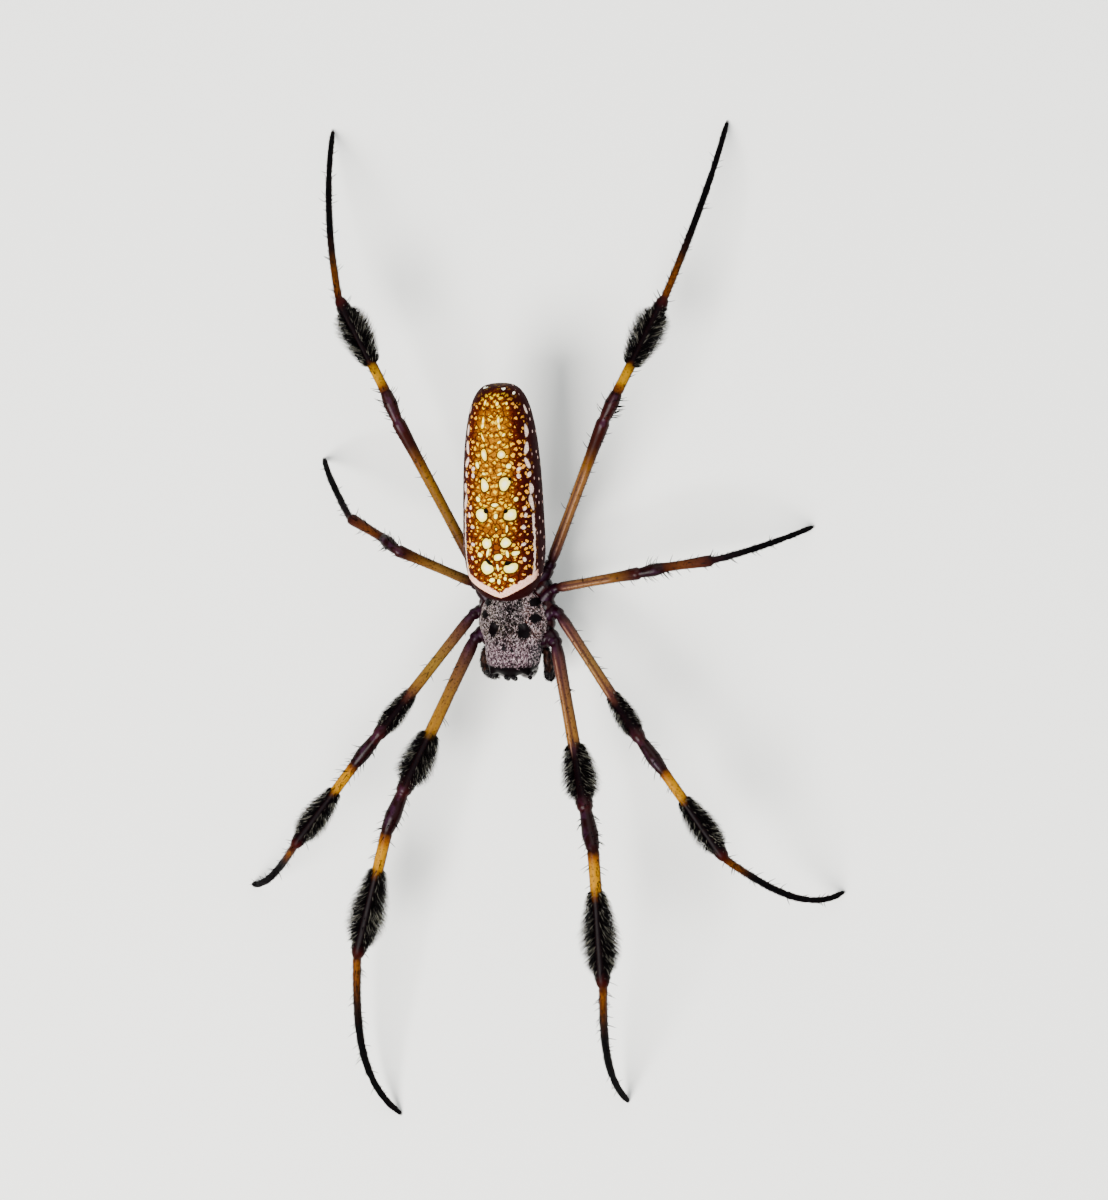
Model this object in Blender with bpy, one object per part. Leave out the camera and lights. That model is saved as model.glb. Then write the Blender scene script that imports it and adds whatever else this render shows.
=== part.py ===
"""Golden silk orb weaver, an adult female at life size, standing still with her eight legs spread.

The head points to -Y, the spider's left is +X, and the feet stand on the plane z = 0.
Sizes are named in millimetres, and become metres where a mesh is made.
"""

import math
import random
from collections import namedtuple

import bmesh
import bpy
import numpy as np
from mathutils import Vector

MM = 0.001
GAP = 0.3                      # clear space between two neighbouring pieces
EYE_GAP = 0.12                 # the eyes are too small for the full gap

# Body: y runs from the head's front to the tail, z is height over the floor.
HEAD_FRONT_Y = -7.5
CARAPACE_REAR_Y = 1.3
CARAPACE_MARGIN_Z = 6.3
HEAD_HALF_WIDTH = 2.8
THORAX_HALF_WIDTH = 3.5
NECK_Y = (-4.6, -2.6)          # the carapace widens from head to thorax between these
HEAD_TOP = 2.9                 # heights over the margin
THORAX_TOP = 1.9
STERNUM_DROP = 1.4             # depth under the margin
HEAD_BLUNTNESS = 4.5           # exponents of the rounded ends, 2 is an ellipse
REAR_BLUNTNESS = 2.4
CARAPACE_SQUARENESS = 2.5

ABDOMEN_FRONT = Vector((0.1, 0.35, 9.7))
ABDOMEN_LENGTH = 21.7
ABDOMEN_HALF_WIDTH = 4.1
ABDOMEN_FLATNESS = 0.94        # height over width
ABDOMEN_WIDEST = 0.30          # share of the length from the front
ABDOMEN_TAPER = 0.1            # loss of width towards the tail
ABDOMEN_FRONT_BLUNTNESS = 2.8
ABDOMEN_REAR_BLUNTNESS = 3.5
ABDOMEN_UNDERCUT = 3.0         # how far the front recedes below, over the pedicel
ABDOMEN_LIFT = math.radians(3.0)
ABDOMEN_TURN = math.radians(0.9)

# Legs: true lengths of femur, patella, tibia and foot (metatarsus and tarsus together), for each pair.
LEG_LENGTHS = {
    1: (17.2, 4.2, 14.0, 20.4),
    2: (15.4, 3.8, 10.7, 15.7),
    3: (9.4, 2.6, 4.8, 11.6),
    4: (16.3, 3.1, 10.5, 19.1),
}
LEG_GIRTH = {1: 1.0, 2: 0.87, 3: 0.78, 4: 0.85}
HIP_Z = 6.5
COXA_ROOT_Z = 5.7
FOOT_TIP_Z = 0.16
FOOT_TIP_DIAMETER = 0.42
FOOT_BEND = math.radians(30.0) # how much the foot curves down from ankle to toe
ELBOW_RISE, ELBOW_BACK = 0.3, 0.9    # the coxa runs level first, then turns up to the hip

# Where each coxa leaves the sternum's edge, on the left side.
COXA_ROOTS = {1: (1.9, -4.1), 2: (2.3, -2.3), 3: (2.3, -0.9), 4: (1.2, 1.0)}

# One leg's pose: the hip's place on the plan, the heights of knee, patella end and ankle, and the plan
# headings of the segments in degrees. Heading 0 points to the tail, 90 to the spider's left, 180 ahead.
Pose = namedtuple("Pose", "hip knee_z patella_z ankle_z femur patella tibia foot toe curl")
POSES = {
    "leg1_left": Pose((4.4, -4.5), 12.0, 14.0, 13.7, 164, 160, 176, 188, 166, 3.0),
    "leg1_right": Pose((-4.2, -4.4), 8.7, 9.2, 8.0, -156, -159, -165, -176, -220, 2.8),
    "leg2_left": Pose((4.8, -1.5), 10.6, 11.0, 10.6, 141, 141, 144, 131, 58, 3.2),
    "leg2_right": Pose((-4.4, -1.9), 10.8, 10.7, 11.5, -144, -141, -144, -141, -107, 1.4),
    "leg3_left": Pose((4.6, 1.3), 8.7, 8.5, 7.5, 77, 76, 81, 77, 68, 0.8),
    "leg3_right": Pose((-4.3, 1.5), 12.5, 11.0, 9.0, -58, -63, -68, -44, -57, 1.3),
    "leg4_left": Pose((3.9, 3.9), 9.8, 10.2, 7.4, 23, 27, 24, 21, 6, 1.4),
    "leg4_right": Pose((-4.35, 3.6), 10.0, 10.3, 9.5, -25, -21, -29, -16, -9, 0.8),
}

# Diameters along each segment of leg I, as (share of the length, millimetres).
COXA_GIRTHS = ((0.0, 1.35), (0.55, 1.5), (0.8, 1.3), (1.0, 1.3))
COXA_SHARES = (0.0, 0.5, 0.7, 0.85, 1.0)
FEMUR_GIRTHS = ((0.0, 1.25), (0.06, 1.3), (0.35, 1.25), (0.75, 1.4), (0.93, 1.55), (1.0, 1.4))
PATELLA_GIRTHS = ((0.0, 1.4), (0.15, 1.55), (0.65, 1.7), (1.0, 1.3))
TIBIA_GIRTHS = ((0.0, 1.3), (0.1, 1.2), (0.4, 1.25), (0.85, 1.55), (0.95, 1.5), (1.0, 1.1))
FOOT_GIRTHS = ((0.0, 0.9), (0.05, 0.75), (0.3, 0.66), (0.75, 0.62), (0.93, 0.52), (1.0, FOOT_TIP_DIAMETER))
FEMUR_STEPS, PATELLA_STEPS, TIBIA_STEPS, FOOT_STEPS = 7, 3, 9, 12
TUBE_SIDES_RESOLUTION = 2      # gives eight sides

# Hair brushes, as (first share, last share, reach beyond the skin) of the segment that carries them.
BRUSHES = {
    ("femur", 1): (0.62, 0.98, 1.05),
    ("tibia", 1): (0.32, 0.96, 1.25),
    ("femur", 2): (0.64, 0.97, 0.6),
    ("tibia", 2): (0.33, 0.96, 0.95),
    ("tibia", 4): (0.30, 0.96, 1.3),
}

# Locks of the brushes. Each is a flat blade that leans away from the leg and towards the foot.
LOCK_STATIONS = ((0.0, 0.85, 0.5), (0.4, 1.0, 0.5), (0.72, 0.7, 0.36))    # share of length, width, thickness
LOCK_LEAN = (math.radians(66.0), math.radians(34.0))    # angle from the leg at root and tip
LOCK_ROWS = (-60.0, 60.0, -107.0, 107.0, 180.0)         # degrees from the top, which is bare
LOCK_SPACING = 1.75
LOCK_ROOT_DEPTH = 0.2          # distance of a root from the leg's axis
LOCK_SHORTEST = 0.45           # reach of the end locks as a share of the brush's
LOCK_ADVANCE = 0.85            # travel towards the foot as a share of the reach
LOCK_CORE = 0.4                # share of the reach that the swelling under the locks fills
LOCK_LENGTH_JITTER = 0.09
LOCK_PLACE_JITTER = 0.1
LOCK_TURN_JITTER = 7.0         # degrees
LOCK_SEED = 11
CORNER_SIGNS = ((-1, -1), (1, -1), (1, 1), (-1, 1))

# Eye bumps as (centre, radii): one in the middle and one at each front corner of the head.
MIDDLE_BUMP = Vector((0.0, -7.35, 7.6))
CORNER_BUMP = Vector((2.1, -7.0, 8.0))
EYE_BUMPS = (
    (MIDDLE_BUMP, (0.85, 0.6, 0.75)),
    (CORNER_BUMP, (0.5, 0.6, 0.5)),
    (Vector((-CORNER_BUMP.x, CORNER_BUMP.y, CORNER_BUMP.z)), (0.5, 0.6, 0.5)),
)
# Eyes as (name, place on the left half, radius).
EYES = (
    ("front_middle", Vector((0.38, -7.92, 7.3)), 0.27),
    ("rear_middle", Vector((0.38, -7.75, 8.05)), 0.27),
    ("front_side", Vector((2.2, -7.58, 7.9)), 0.24),
    ("rear_side", Vector((2.5, -7.0, 8.35)), 0.24),
)

# Mouthparts on the left side: points and diameters from the root to the tip.
JAW_ROUTE = ((1.05, -6.3, 6.6), (1.1, -7.0, 6.0), (1.1, -7.35, 5.0), (1.0, -7.25, 4.0), (0.85, -6.95, 3.0),
             (0.75, -6.7, 2.6))
JAW_SIZES = (1.7, 1.85, 1.8, 1.6, 1.25, 0.9)
FANG_ROUTE = ((0.72, -6.62, 2.5), (0.6, -6.2, 2.25), (0.45, -5.75, 2.35), (0.35, -5.4, 2.6))
FANG_SIZES = (0.75, 0.6, 0.45, 0.2)
PALP_ROUTE = ((1.7, -5.2, 5.2), (2.6, -5.0, 5.2), (3.15, -5.5, 5.5), (3.3, -6.3, 5.6), (3.3, -7.1, 5.2),
              (3.2, -7.7, 4.6), (3.0, -8.1, 3.8), (2.8, -8.3, 3.0))
PALP_SIZES = (0.9, 0.85, 0.8, 0.85, 0.9, 0.95, 0.8, 0.4)
PEDICEL_ROUTE = ((0.0, 0.2, 6.2), (0.0, 1.6, 6.4), (0.0, 3.2, 7.2))
PEDICEL_SIZES = (1.4, 1.1, 1.3)
SPINNERET_BASE_Y = 20.2
SPINNERET_BASE_X = -0.4        # the tail lies a little to the right
SPINNERET_BASE_RADII = (1.0, 1.1, 1.0)
SPINNERET_UNDER = 2.6          # how far the base lies under the abdomen's axis
SPINNERETS = ((0.55, -0.1, 1.0), (0.5, 0.7, 0.85))    # half spread, place along y and diameter of each pair

LACQUER_ROUGHNESS = 0.35
HAIR_ROUGHNESS = 0.7
COLOURS = {
    "gold": (0.42, 0.22, 0.03),
    "silver": (0.40, 0.36, 0.33),
    "maroon": (0.05, 0.012, 0.012),
    "amber": (0.34, 0.16, 0.035),
    "black": (0.012, 0.009, 0.012),
    "eye": (0.004, 0.004, 0.004),
}


def smooth_step(value, low, high):
    """Rises from 0 to 1 between low and high with level ends."""
    share = np.clip((value - low) / (high - low), 0.0, 1.0)
    return share * share * (3.0 - 2.0 * share)


def power(value, exponent):
    """Raises the size of a signed value and keeps its sign."""
    return np.sign(value) * np.abs(value) ** exponent


def clear_scene():
    """Removes every object that the file starts with."""
    for old in list(bpy.data.objects):
        bpy.data.objects.remove(old, do_unlink=True)


def make_collection(name):
    """Makes a collection under the scene's own."""
    collection = bpy.data.collections.new(name)
    bpy.context.scene.collection.children.link(collection)
    return collection


def make_material(name, roughness, metallic=0.0):
    """A plain finish in one of the named colours."""
    material = bpy.data.materials.new(name)
    material.use_nodes = True
    shader = material.node_tree.nodes["Principled BSDF"]
    shader.inputs["Base Color"].default_value = (*COLOURS[name], 1.0)
    shader.inputs["Roughness"].default_value = roughness
    shader.inputs["Metallic"].default_value = metallic
    return material


clear_scene()
SPIDER = make_collection("golden_silk_orb_weaver")
CUTTERS = make_collection("cutters")
FINISHES = {name: make_material(name, LACQUER_ROUGHNESS) for name in ("gold", "maroon", "amber", "eye")}
FINISHES.update({name: make_material(name, HAIR_ROUGHNESS) for name in ("silver", "black")})


def make_object(name, mesh, finish, collection=SPIDER):
    """Puts a mesh in the scene under its part's name."""
    thing = bpy.data.objects.new(name, mesh)
    collection.objects.link(thing)
    mesh.materials.clear()
    mesh.materials.append(FINISHES[finish])
    mesh.shade_smooth()
    return thing


def read_mesh(thing):
    """The mesh of an object with its modifiers worked in."""
    bpy.context.view_layer.update()
    graph = bpy.context.evaluated_depsgraph_get()
    return bpy.data.meshes.new_from_object(thing.evaluated_get(graph))


def edit_mesh(mesh, change):
    """Runs one change on a mesh and writes it back."""
    work = bmesh.new()
    work.from_mesh(mesh)
    change(work)
    work.to_mesh(mesh)
    work.free()
    mesh.update()


def tube_mesh(points, diameters, resolution=TUBE_SIDES_RESOLUTION):
    """A closed tube along points in millimetres, as thick at each as its diameter says."""
    curve = bpy.data.curves.new("route", "CURVE")
    curve.dimensions = "3D"
    curve.bevel_depth = 0.5 * MM
    curve.bevel_resolution = resolution
    curve.use_fill_caps = True
    spline = curve.splines.new("POLY")
    spline.points.add(len(points) - 1)
    for knot, point, diameter in zip(spline.points, points, diameters):
        knot.co = (*(Vector(point) * MM), 1.0)
        knot.radius = diameter
    route = bpy.data.objects.new("route", curve)
    CUTTERS.objects.link(route)
    mesh = read_mesh(route)
    mesh.transform(route.matrix_world)
    bpy.data.objects.remove(route)
    bpy.data.curves.remove(curve)
    edit_mesh(mesh, lambda work: bmesh.ops.remove_doubles(work, verts=work.verts, dist=0.01 * MM))
    return mesh


def ball_mesh(rings, sides, shape):
    """A ball with its poles on Y whose unit directions are moved to where shape says, in millimetres."""
    work = bmesh.new()
    bmesh.ops.create_uvsphere(work, u_segments=sides, v_segments=rings, radius=1.0)
    directions = np.array([(v.co.x, -v.co.z, v.co.y) for v in work.verts])
    for vertex, place in zip(work.verts, shape(directions)):
        vertex.co = Vector(place) * MM
    mesh = bpy.data.meshes.new("ball")
    work.to_mesh(mesh)
    work.free()
    return mesh


def split_direction(directions):
    """Along -1 to 1, radial 0 to 1 and the unit cross direction of each point on a unit ball."""
    along = directions[:, 1]
    radial = np.hypot(directions[:, 0], directions[:, 2])
    safe = np.maximum(radial, 1e-6)
    return along, radial, directions[:, 0] / safe, directions[:, 2] / safe


def abdomen_shape(directions):
    """A long sausage, widest near the front, tapering to the tail, undercut where the pedicel joins."""
    along, radial, across, up = split_direction(directions)
    bluntness = np.where(along < 0.0, ABDOMEN_FRONT_BLUNTNESS, ABDOMEN_REAR_BLUNTNESS)
    reach = power(along, 2.0 / bluntness)
    widest = ABDOMEN_WIDEST * ABDOMEN_LENGTH
    y = np.where(along < 0.0, widest * (1.0 + reach), widest + (ABDOMEN_LENGTH - widest) * reach)
    y = y + ABDOMEN_UNDERCUT * np.maximum(-along, 0.0) * radial * np.maximum(-up, 0.0) ** 2
    width = ABDOMEN_HALF_WIDTH * radial ** (2.0 / bluntness) * (1.0 - ABDOMEN_TAPER * np.maximum(reach, 0.0))
    x = width * across
    z = width * ABDOMEN_FLATNESS * up
    lifted_y = y * math.cos(ABDOMEN_LIFT) - z * math.sin(ABDOMEN_LIFT)
    lifted_z = y * math.sin(ABDOMEN_LIFT) + z * math.cos(ABDOMEN_LIFT)
    turned_x = x * math.cos(ABDOMEN_TURN) - lifted_y * math.sin(ABDOMEN_TURN)
    turned_y = x * math.sin(ABDOMEN_TURN) + lifted_y * math.cos(ABDOMEN_TURN)
    return np.column_stack((turned_x, turned_y, lifted_z)) + np.array(ABDOMEN_FRONT)


def carapace_shape(directions):
    """A pear: a high blunt head in front, a lower, wider thorax behind, a flat sternum below."""
    along, radial, across, up = split_direction(directions)
    bluntness = np.where(along < 0.0, HEAD_BLUNTNESS, REAR_BLUNTNESS)
    middle = 0.5 * (HEAD_FRONT_Y + CARAPACE_REAR_Y)
    half = 0.5 * (CARAPACE_REAR_Y - HEAD_FRONT_Y)
    y = middle + half * power(along, 2.0 / bluntness)
    round_off = radial ** (2.0 / bluntness)
    thorax = smooth_step(y, *NECK_Y)
    width = (HEAD_HALF_WIDTH + (THORAX_HALF_WIDTH - HEAD_HALF_WIDTH) * thorax) * round_off
    top = (HEAD_TOP + (THORAX_TOP - HEAD_TOP) * thorax) * round_off
    x = width * power(across, 2.0 / CARAPACE_SQUARENESS)
    depth = np.where(up > 0.0, top, STERNUM_DROP * round_off)
    z = CARAPACE_MARGIN_Z + depth * power(up, 2.0 / CARAPACE_SQUARENESS)
    return np.column_stack((x, y, z))


def ellipsoid_shape(centre, radii):
    """A ball stretched to three radii about a centre."""
    return lambda directions: directions * np.array(radii) + np.array(centre)


def apply_boolean(base, operation, operand, solver="EXACT"):
    """Joins or cuts base with one object or with all of a collection, and keeps the largest piece."""
    modifier = base.modifiers.new("boolean", "BOOLEAN")
    modifier.operation = operation
    modifier.solver = solver
    if isinstance(operand, bpy.types.Collection):
        modifier.operand_type = "COLLECTION"
        modifier.collection = operand
    else:
        modifier.object = operand
    mesh = read_mesh(base)
    base.modifiers.clear()
    old = base.data
    base.data = mesh
    bpy.data.meshes.remove(old)
    keep_largest(mesh)


def keep_largest(mesh):
    """Drops every loose surface but the one with the most faces."""
    work = bmesh.new()
    work.from_mesh(mesh)
    work.faces.ensure_lookup_table()
    left = set(work.faces)
    groups = []
    while left:
        start = left.pop()
        group, edge_of_search = [start], [start]
        while edge_of_search:
            face = edge_of_search.pop()
            for edge in face.edges:
                for other in edge.link_faces:
                    if other in left:
                        left.remove(other)
                        group.append(other)
                        edge_of_search.append(other)
        groups.append(group)
    groups.sort(key=len)
    loose = [face for group in groups[:-1] for face in group]
    bmesh.ops.delete(work, geom=loose, context="FACES")
    work.to_mesh(mesh)
    work.free()
    mesh.update()


def make_cutter(name, mesh, grow=0.0):
    """A hidden solid that other pieces are cut with, grown along its normals."""
    cutter = make_object(name, mesh, "black", CUTTERS)
    cutter.hide_render = True
    cutter.display_type = "WIRE"

    def push(work):
        work.normal_update()
        for vertex in work.verts:
            vertex.co += vertex.normal * vertex.calc_shell_factor() * grow * MM

    edit_mesh(mesh, push)
    return cutter


def fuse(base, pieces):
    """Unites base with closed pieces and removes them."""
    group = bpy.data.collections.new("pieces")
    for piece in pieces:
        CUTTERS.objects.unlink(piece)
        group.objects.link(piece)
    bpy.context.scene.collection.children.link(group)
    apply_boolean(base, "UNION", group)
    for piece in list(group.objects):
        bpy.data.objects.remove(piece)
    bpy.data.collections.remove(group)


def slice_mesh(mesh, point, direction, keep_ahead):
    """Cuts a mesh with a plane, closes the cut, and keeps what is ahead of or behind the plane."""
    def change(work):
        bmesh.ops.bisect_plane(work, geom=work.verts[:] + work.edges[:] + work.faces[:], dist=1e-9,
                               plane_co=point * MM, plane_no=direction,
                               clear_inner=keep_ahead, clear_outer=not keep_ahead)
        rim = [edge for edge in work.edges if edge.is_boundary]
        bmesh.ops.holes_fill(work, edges=rim, sides=0)
        bmesh.ops.recalc_face_normals(work, faces=work.faces)

    edit_mesh(mesh, change)


def heading_vector(degrees):
    """The plan direction of a heading: 0 is +Y and 90 is +X."""
    angle = math.radians(degrees)
    return Vector((math.sin(angle), math.cos(angle), 0.0))


def straight_segment(start, length, heading, end_z, steps):
    """Points along a straight segment of true length that ends at a given height."""
    rise = end_z - start.z
    plan = math.sqrt(length * length - rise * rise)
    end = start + heading_vector(heading) * plan + Vector((0.0, 0.0, rise))
    return [start.lerp(end, step / steps) for step in range(1, steps + 1)]


def foot_segment(start, length, pose, steps):
    """Points along the foot: it bends down evenly, and its heading turns from ankle to toe."""
    drop = start.z - FOOT_TIP_Z
    chord = length * math.sin(FOOT_BEND / 2) / (FOOT_BEND / 2)
    mean_dip = math.asin(min(drop / chord, 1.0))
    points, place = [], start.copy()
    for step in range(steps):
        share = (step + 0.5) / steps
        dip = mean_dip + FOOT_BEND * (share - 0.5)
        heading = pose.foot + (pose.toe - pose.foot) * share ** pose.curl
        ahead = heading_vector(heading) * math.cos(dip) - Vector((0.0, 0.0, math.sin(dip)))
        place = place + ahead * length / steps
        points.append(place)
    return points


def rounded_corner(start, corner, end):
    """Three points that round a corner between two others."""
    return [(1 - t) ** 2 * start + 2 * t * (1 - t) * corner + t * t * end for t in (0.25, 0.5, 0.75)]


def girths(stations, shares, scale):
    """Diameters read between stations."""
    places, sizes = zip(*stations)
    return [scale * float(value) for value in np.interp(shares, places, sizes)]


def even_shares(steps):
    """Shares of a segment at its points, without its start."""
    return [step / steps for step in range(1, steps + 1)]


def brush_swell(share, first, last):
    """How far a brush stands out along its segment, from 0 at its ends to 1."""
    inside = np.clip((share - first) / (last - first), 0.0, 1.0)
    return np.sin(math.pi * inside ** 0.8) ** 0.6


def lock_mesh(root, ahead, outward, length):
    """A flat, tapered, bent lock as a closed mesh: four corners at each station and one tip."""
    across = ahead.cross(outward)
    place, done, corners = root, 0.0, []
    for share, width, thickness in LOCK_STATIONS + ((1.0, 0.0, 0.0),):
        lean = LOCK_LEAN[0] + (LOCK_LEAN[1] - LOCK_LEAN[0]) * share
        along = ahead * math.cos(lean) + outward * math.sin(lean)
        flat = across.cross(along)
        place = place + along * (share - done) * length
        done = share
        corners += [place + across * width * a / 2 + flat * thickness * b / 2 for a, b in CORNER_SIGNS]
    rings = len(LOCK_STATIONS)
    tip = 4 * rings
    faces = [(3, 2, 1, 0)]
    for ring in range(rings):
        for k in range(4):
            low, high = 4 * ring + k, 4 * ring + (k + 1) % 4
            faces.append((low, high, tip) if ring == rings - 1 else (low, high, high + 4, low + 4))
    mesh = bpy.data.meshes.new("lock")
    mesh.from_pydata([corner * MM for corner in corners[:tip + 1]], [], faces)
    mesh.update()
    return mesh


def make_locks(start, end, segment, pair, chance):
    """The locks of one brush in staggered rows, shorter towards its ends."""
    first, last, reach = BRUSHES[segment, pair]
    stations = FEMUR_GIRTHS if segment == "femur" else TIBIA_GIRTHS
    length = (end - start).length
    ahead = (end - start).normalized()
    side = ahead.cross(Vector((0.0, 0.0, 1.0))).normalized()
    top = side.cross(ahead)
    advance = LOCK_ADVANCE * reach / length
    steps = max(3, round((last - first - advance) * length / LOCK_SPACING))
    pieces = []
    for row, degrees in enumerate(LOCK_ROWS):
        for step in range(steps):
            place = (step + 0.25 + 0.5 * (row // 2 % 2)) / steps
            share = first + (last - first - advance) * place
            share += chance.uniform(-LOCK_PLACE_JITTER, LOCK_PLACE_JITTER) / length
            swell = max(float(brush_swell(share + advance, first, last)), LOCK_SHORTEST)
            skin = girths(stations, (share,), LEG_GIRTH[pair])[0] / 2
            tip = skin + reach * swell * chance.uniform(1.0 - LOCK_LENGTH_JITTER, 1.0 + LOCK_LENGTH_JITTER)
            angle = math.radians(degrees + chance.uniform(-LOCK_TURN_JITTER, LOCK_TURN_JITTER))
            outward = top * math.cos(angle) + side * math.sin(angle)
            root = start.lerp(end, share) + outward * LOCK_ROOT_DEPTH
            blade = lock_mesh(root, ahead, outward, (tip - LOCK_ROOT_DEPTH) / math.sin(sum(LOCK_LEAN) / 2))
            pieces.append(make_object("lock", blade, "black", CUTTERS))
    return pieces


def leg_route(name):
    """The centre line of a whole leg, its diameters, and the numbers of its joint points."""
    pair = int(name[3])
    side = 1.0 if name.endswith("left") else -1.0
    pose = POSES[name]
    scale = LEG_GIRTH[pair]
    root_x, root_y = COXA_ROOTS[pair]
    root = Vector((side * root_x, root_y, COXA_ROOT_Z))
    hip = Vector((*pose.hip, HIP_Z))
    ahead = heading_vector(pose.femur)
    elbow = Vector((hip.x, hip.y, COXA_ROOT_Z + ELBOW_RISE)) - ahead * ELBOW_BACK
    points = [root] + rounded_corner(root.lerp(elbow, 0.5), elbow, hip) + [hip]
    sizes = girths(COXA_GIRTHS, COXA_SHARES, scale)
    joints = [len(points) - 1]
    femur, patella, tibia, foot = LEG_LENGTHS[pair]
    parts = (
        (straight_segment, femur, pose.femur, pose.knee_z, FEMUR_STEPS, FEMUR_GIRTHS, "femur"),
        (straight_segment, patella, pose.patella, pose.patella_z, PATELLA_STEPS, PATELLA_GIRTHS, "patella"),
        (straight_segment, tibia, pose.tibia, pose.ankle_z, TIBIA_STEPS, TIBIA_GIRTHS, "tibia"),
    )
    for make, length, heading, end_z, steps, stations, segment in parts:
        shares = even_shares(steps)
        points += make(points[-1], length, heading, end_z, steps)
        around = np.array(girths(stations, shares, scale))
        if (segment, pair) in BRUSHES:
            first, last, reach = BRUSHES[segment, pair]
            around = around + 2.0 * LOCK_CORE * reach * brush_swell(np.array(shares), first, last)
        sizes += list(around)
        joints.append(len(points) - 1)
    points += foot_segment(points[-1], foot, pose, FOOT_STEPS)
    sizes += girths(FOOT_GIRTHS, even_shares(FOOT_STEPS), scale)
    return points, sizes, joints


def joint_plane(points, index):
    """The plane between two segments: its point and the direction that halves the bend."""
    before = (points[index] - points[index - 1]).normalized()
    after = (points[index + 1] - points[index]).normalized()
    return points[index], (before + after).normalized()


def flatten_foot(mesh):
    """Presses what would reach under the floor to a small flat on it."""
    def change(work):
        for vertex in work.verts:
            vertex.co.z = max(vertex.co.z, 0.0)

    edit_mesh(mesh, change)


def make_leg(name, body_cutter):
    """One whole leg, parted at hip, knee and ankle with thin cuts."""
    points, sizes, (hip, knee, patella_end, ankle) = leg_route(name)
    ends = {"femur": (points[hip], points[knee]), "tibia": (points[patella_end], points[ankle])}
    chance = random.Random(f"{LOCK_SEED} {name}")
    cuts = [joint_plane(points, index) for index in (hip, knee, ankle)]
    whole = tube_mesh(points, sizes)
    nodes = (
        ("coxa", None, 0, "maroon"),
        ("femur", 0, 1, "amber"),
        ("tibia", 1, 2, "amber"),
        ("foot", 2, None, "black"),
    )
    for part, start, end, finish in nodes:
        mesh = whole.copy()
        if start is not None:
            place, direction = cuts[start]
            slice_mesh(mesh, place + direction * GAP / 2, direction, True)
        if end is not None:
            place, direction = cuts[end]
            slice_mesh(mesh, place - direction * GAP / 2, direction, False)
        node = make_object(f"{name}_{part}", mesh, finish)
        if (part, int(name[3])) in BRUSHES:
            fuse(node, make_locks(*ends[part], part, int(name[3]), chance))
        if part == "coxa":
            apply_boolean(node, "DIFFERENCE", body_cutter)
        if part == "foot":
            flatten_foot(mesh)
    bpy.data.meshes.remove(whole)


def make_body():
    """Abdomen and carapace, with the three bumps that carry the eyes."""
    abdomen = make_object("abdomen", ball_mesh(18, 24, abdomen_shape), "gold")
    carapace = make_object("cephalothorax", ball_mesh(18, 24, carapace_shape), "silver")
    shapes = [ellipsoid_shape(place, radii) for place, radii in EYE_BUMPS]
    fuse(carapace, [make_cutter("bump", ball_mesh(6, 8, shape)) for shape in shapes])
    return abdomen, carapace


def make_eyes(carapace):
    """Eight small domes, each cut clear of the head that it sits on."""
    socket = make_cutter("eye_cutter", carapace.data.copy(), EYE_GAP)
    for label, place, radius in EYES:
        for side, sign in (("left", 1.0), ("right", -1.0)):
            centre = (sign * place.x, place.y, place.z)
            dome = ball_mesh(6, 8, ellipsoid_shape(centre, (radius,) * 3))
            eye = make_object(f"eye_{label}_{side}", dome, "eye")
            apply_boolean(eye, "DIFFERENCE", socket)


def make_tube_node(name, points, sizes, finish, cutters):
    """A tube that is cut clear of its neighbours."""
    node = make_object(name, tube_mesh([Vector(p) for p in points], sizes), finish)
    for cutter in cutters:
        apply_boolean(node, "DIFFERENCE", cutter)
    return node


def mirrored(route, sign):
    """A route on the left side, or its mirror image on the right."""
    return [(sign * x, y, z) for x, y, z in route]


def make_mouthparts(body_cutter):
    """Jaws, fangs and palps, each pair mirrored."""
    for side, sign in (("left", 1.0), ("right", -1.0)):
        route = mirrored(JAW_ROUTE, sign)
        jaw = make_tube_node(f"chelicera_{side}", route, JAW_SIZES, "black", [body_cutter])
        jaw_cutter = make_cutter("jaw_cutter", jaw.data.copy(), GAP)
        make_tube_node(f"fang_{side}", mirrored(FANG_ROUTE, sign), FANG_SIZES, "maroon", [jaw_cutter])
        make_tube_node(f"palp_{side}", mirrored(PALP_ROUTE, sign), PALP_SIZES, "amber", [body_cutter])


def make_spinnerets(abdomen_cutter):
    """Four blunt cones under the tail in one piece."""
    base_z = ABDOMEN_FRONT.z + SPINNERET_BASE_Y * math.sin(ABDOMEN_LIFT) - SPINNERET_UNDER
    base = Vector((SPINNERET_BASE_X, SPINNERET_BASE_Y, base_z))
    node = make_object("spinnerets", ball_mesh(8, 10, ellipsoid_shape(base, SPINNERET_BASE_RADII)), "maroon")
    cones = []
    for spread, place, size in SPINNERETS:
        for sign in (1.0, -1.0):
            route = [base + Vector(step) for step in (
                (sign * spread * 0.5, place, 0.0),
                (sign * spread, place + 0.3, -1.0),
                (sign * spread * 0.8, place + 0.5, -1.7),
            )]
            cones.append(make_cutter("cone", tube_mesh(route, (size, size * 0.9, size * 0.5))))
    fuse(node, cones)
    apply_boolean(node, "DIFFERENCE", abdomen_cutter)


def centre_on_floor():
    """Moves the spider so that the middle of her outer box is over the origin."""
    bpy.context.view_layer.update()
    corners = np.array([tuple(vertex.co) for part in SPIDER.objects for vertex in part.data.vertices])
    middle = (corners.min(axis=0) + corners.max(axis=0)) / 2.0
    for part in SPIDER.objects:
        part.location = (-middle[0], -middle[1], 0.0)


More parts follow.
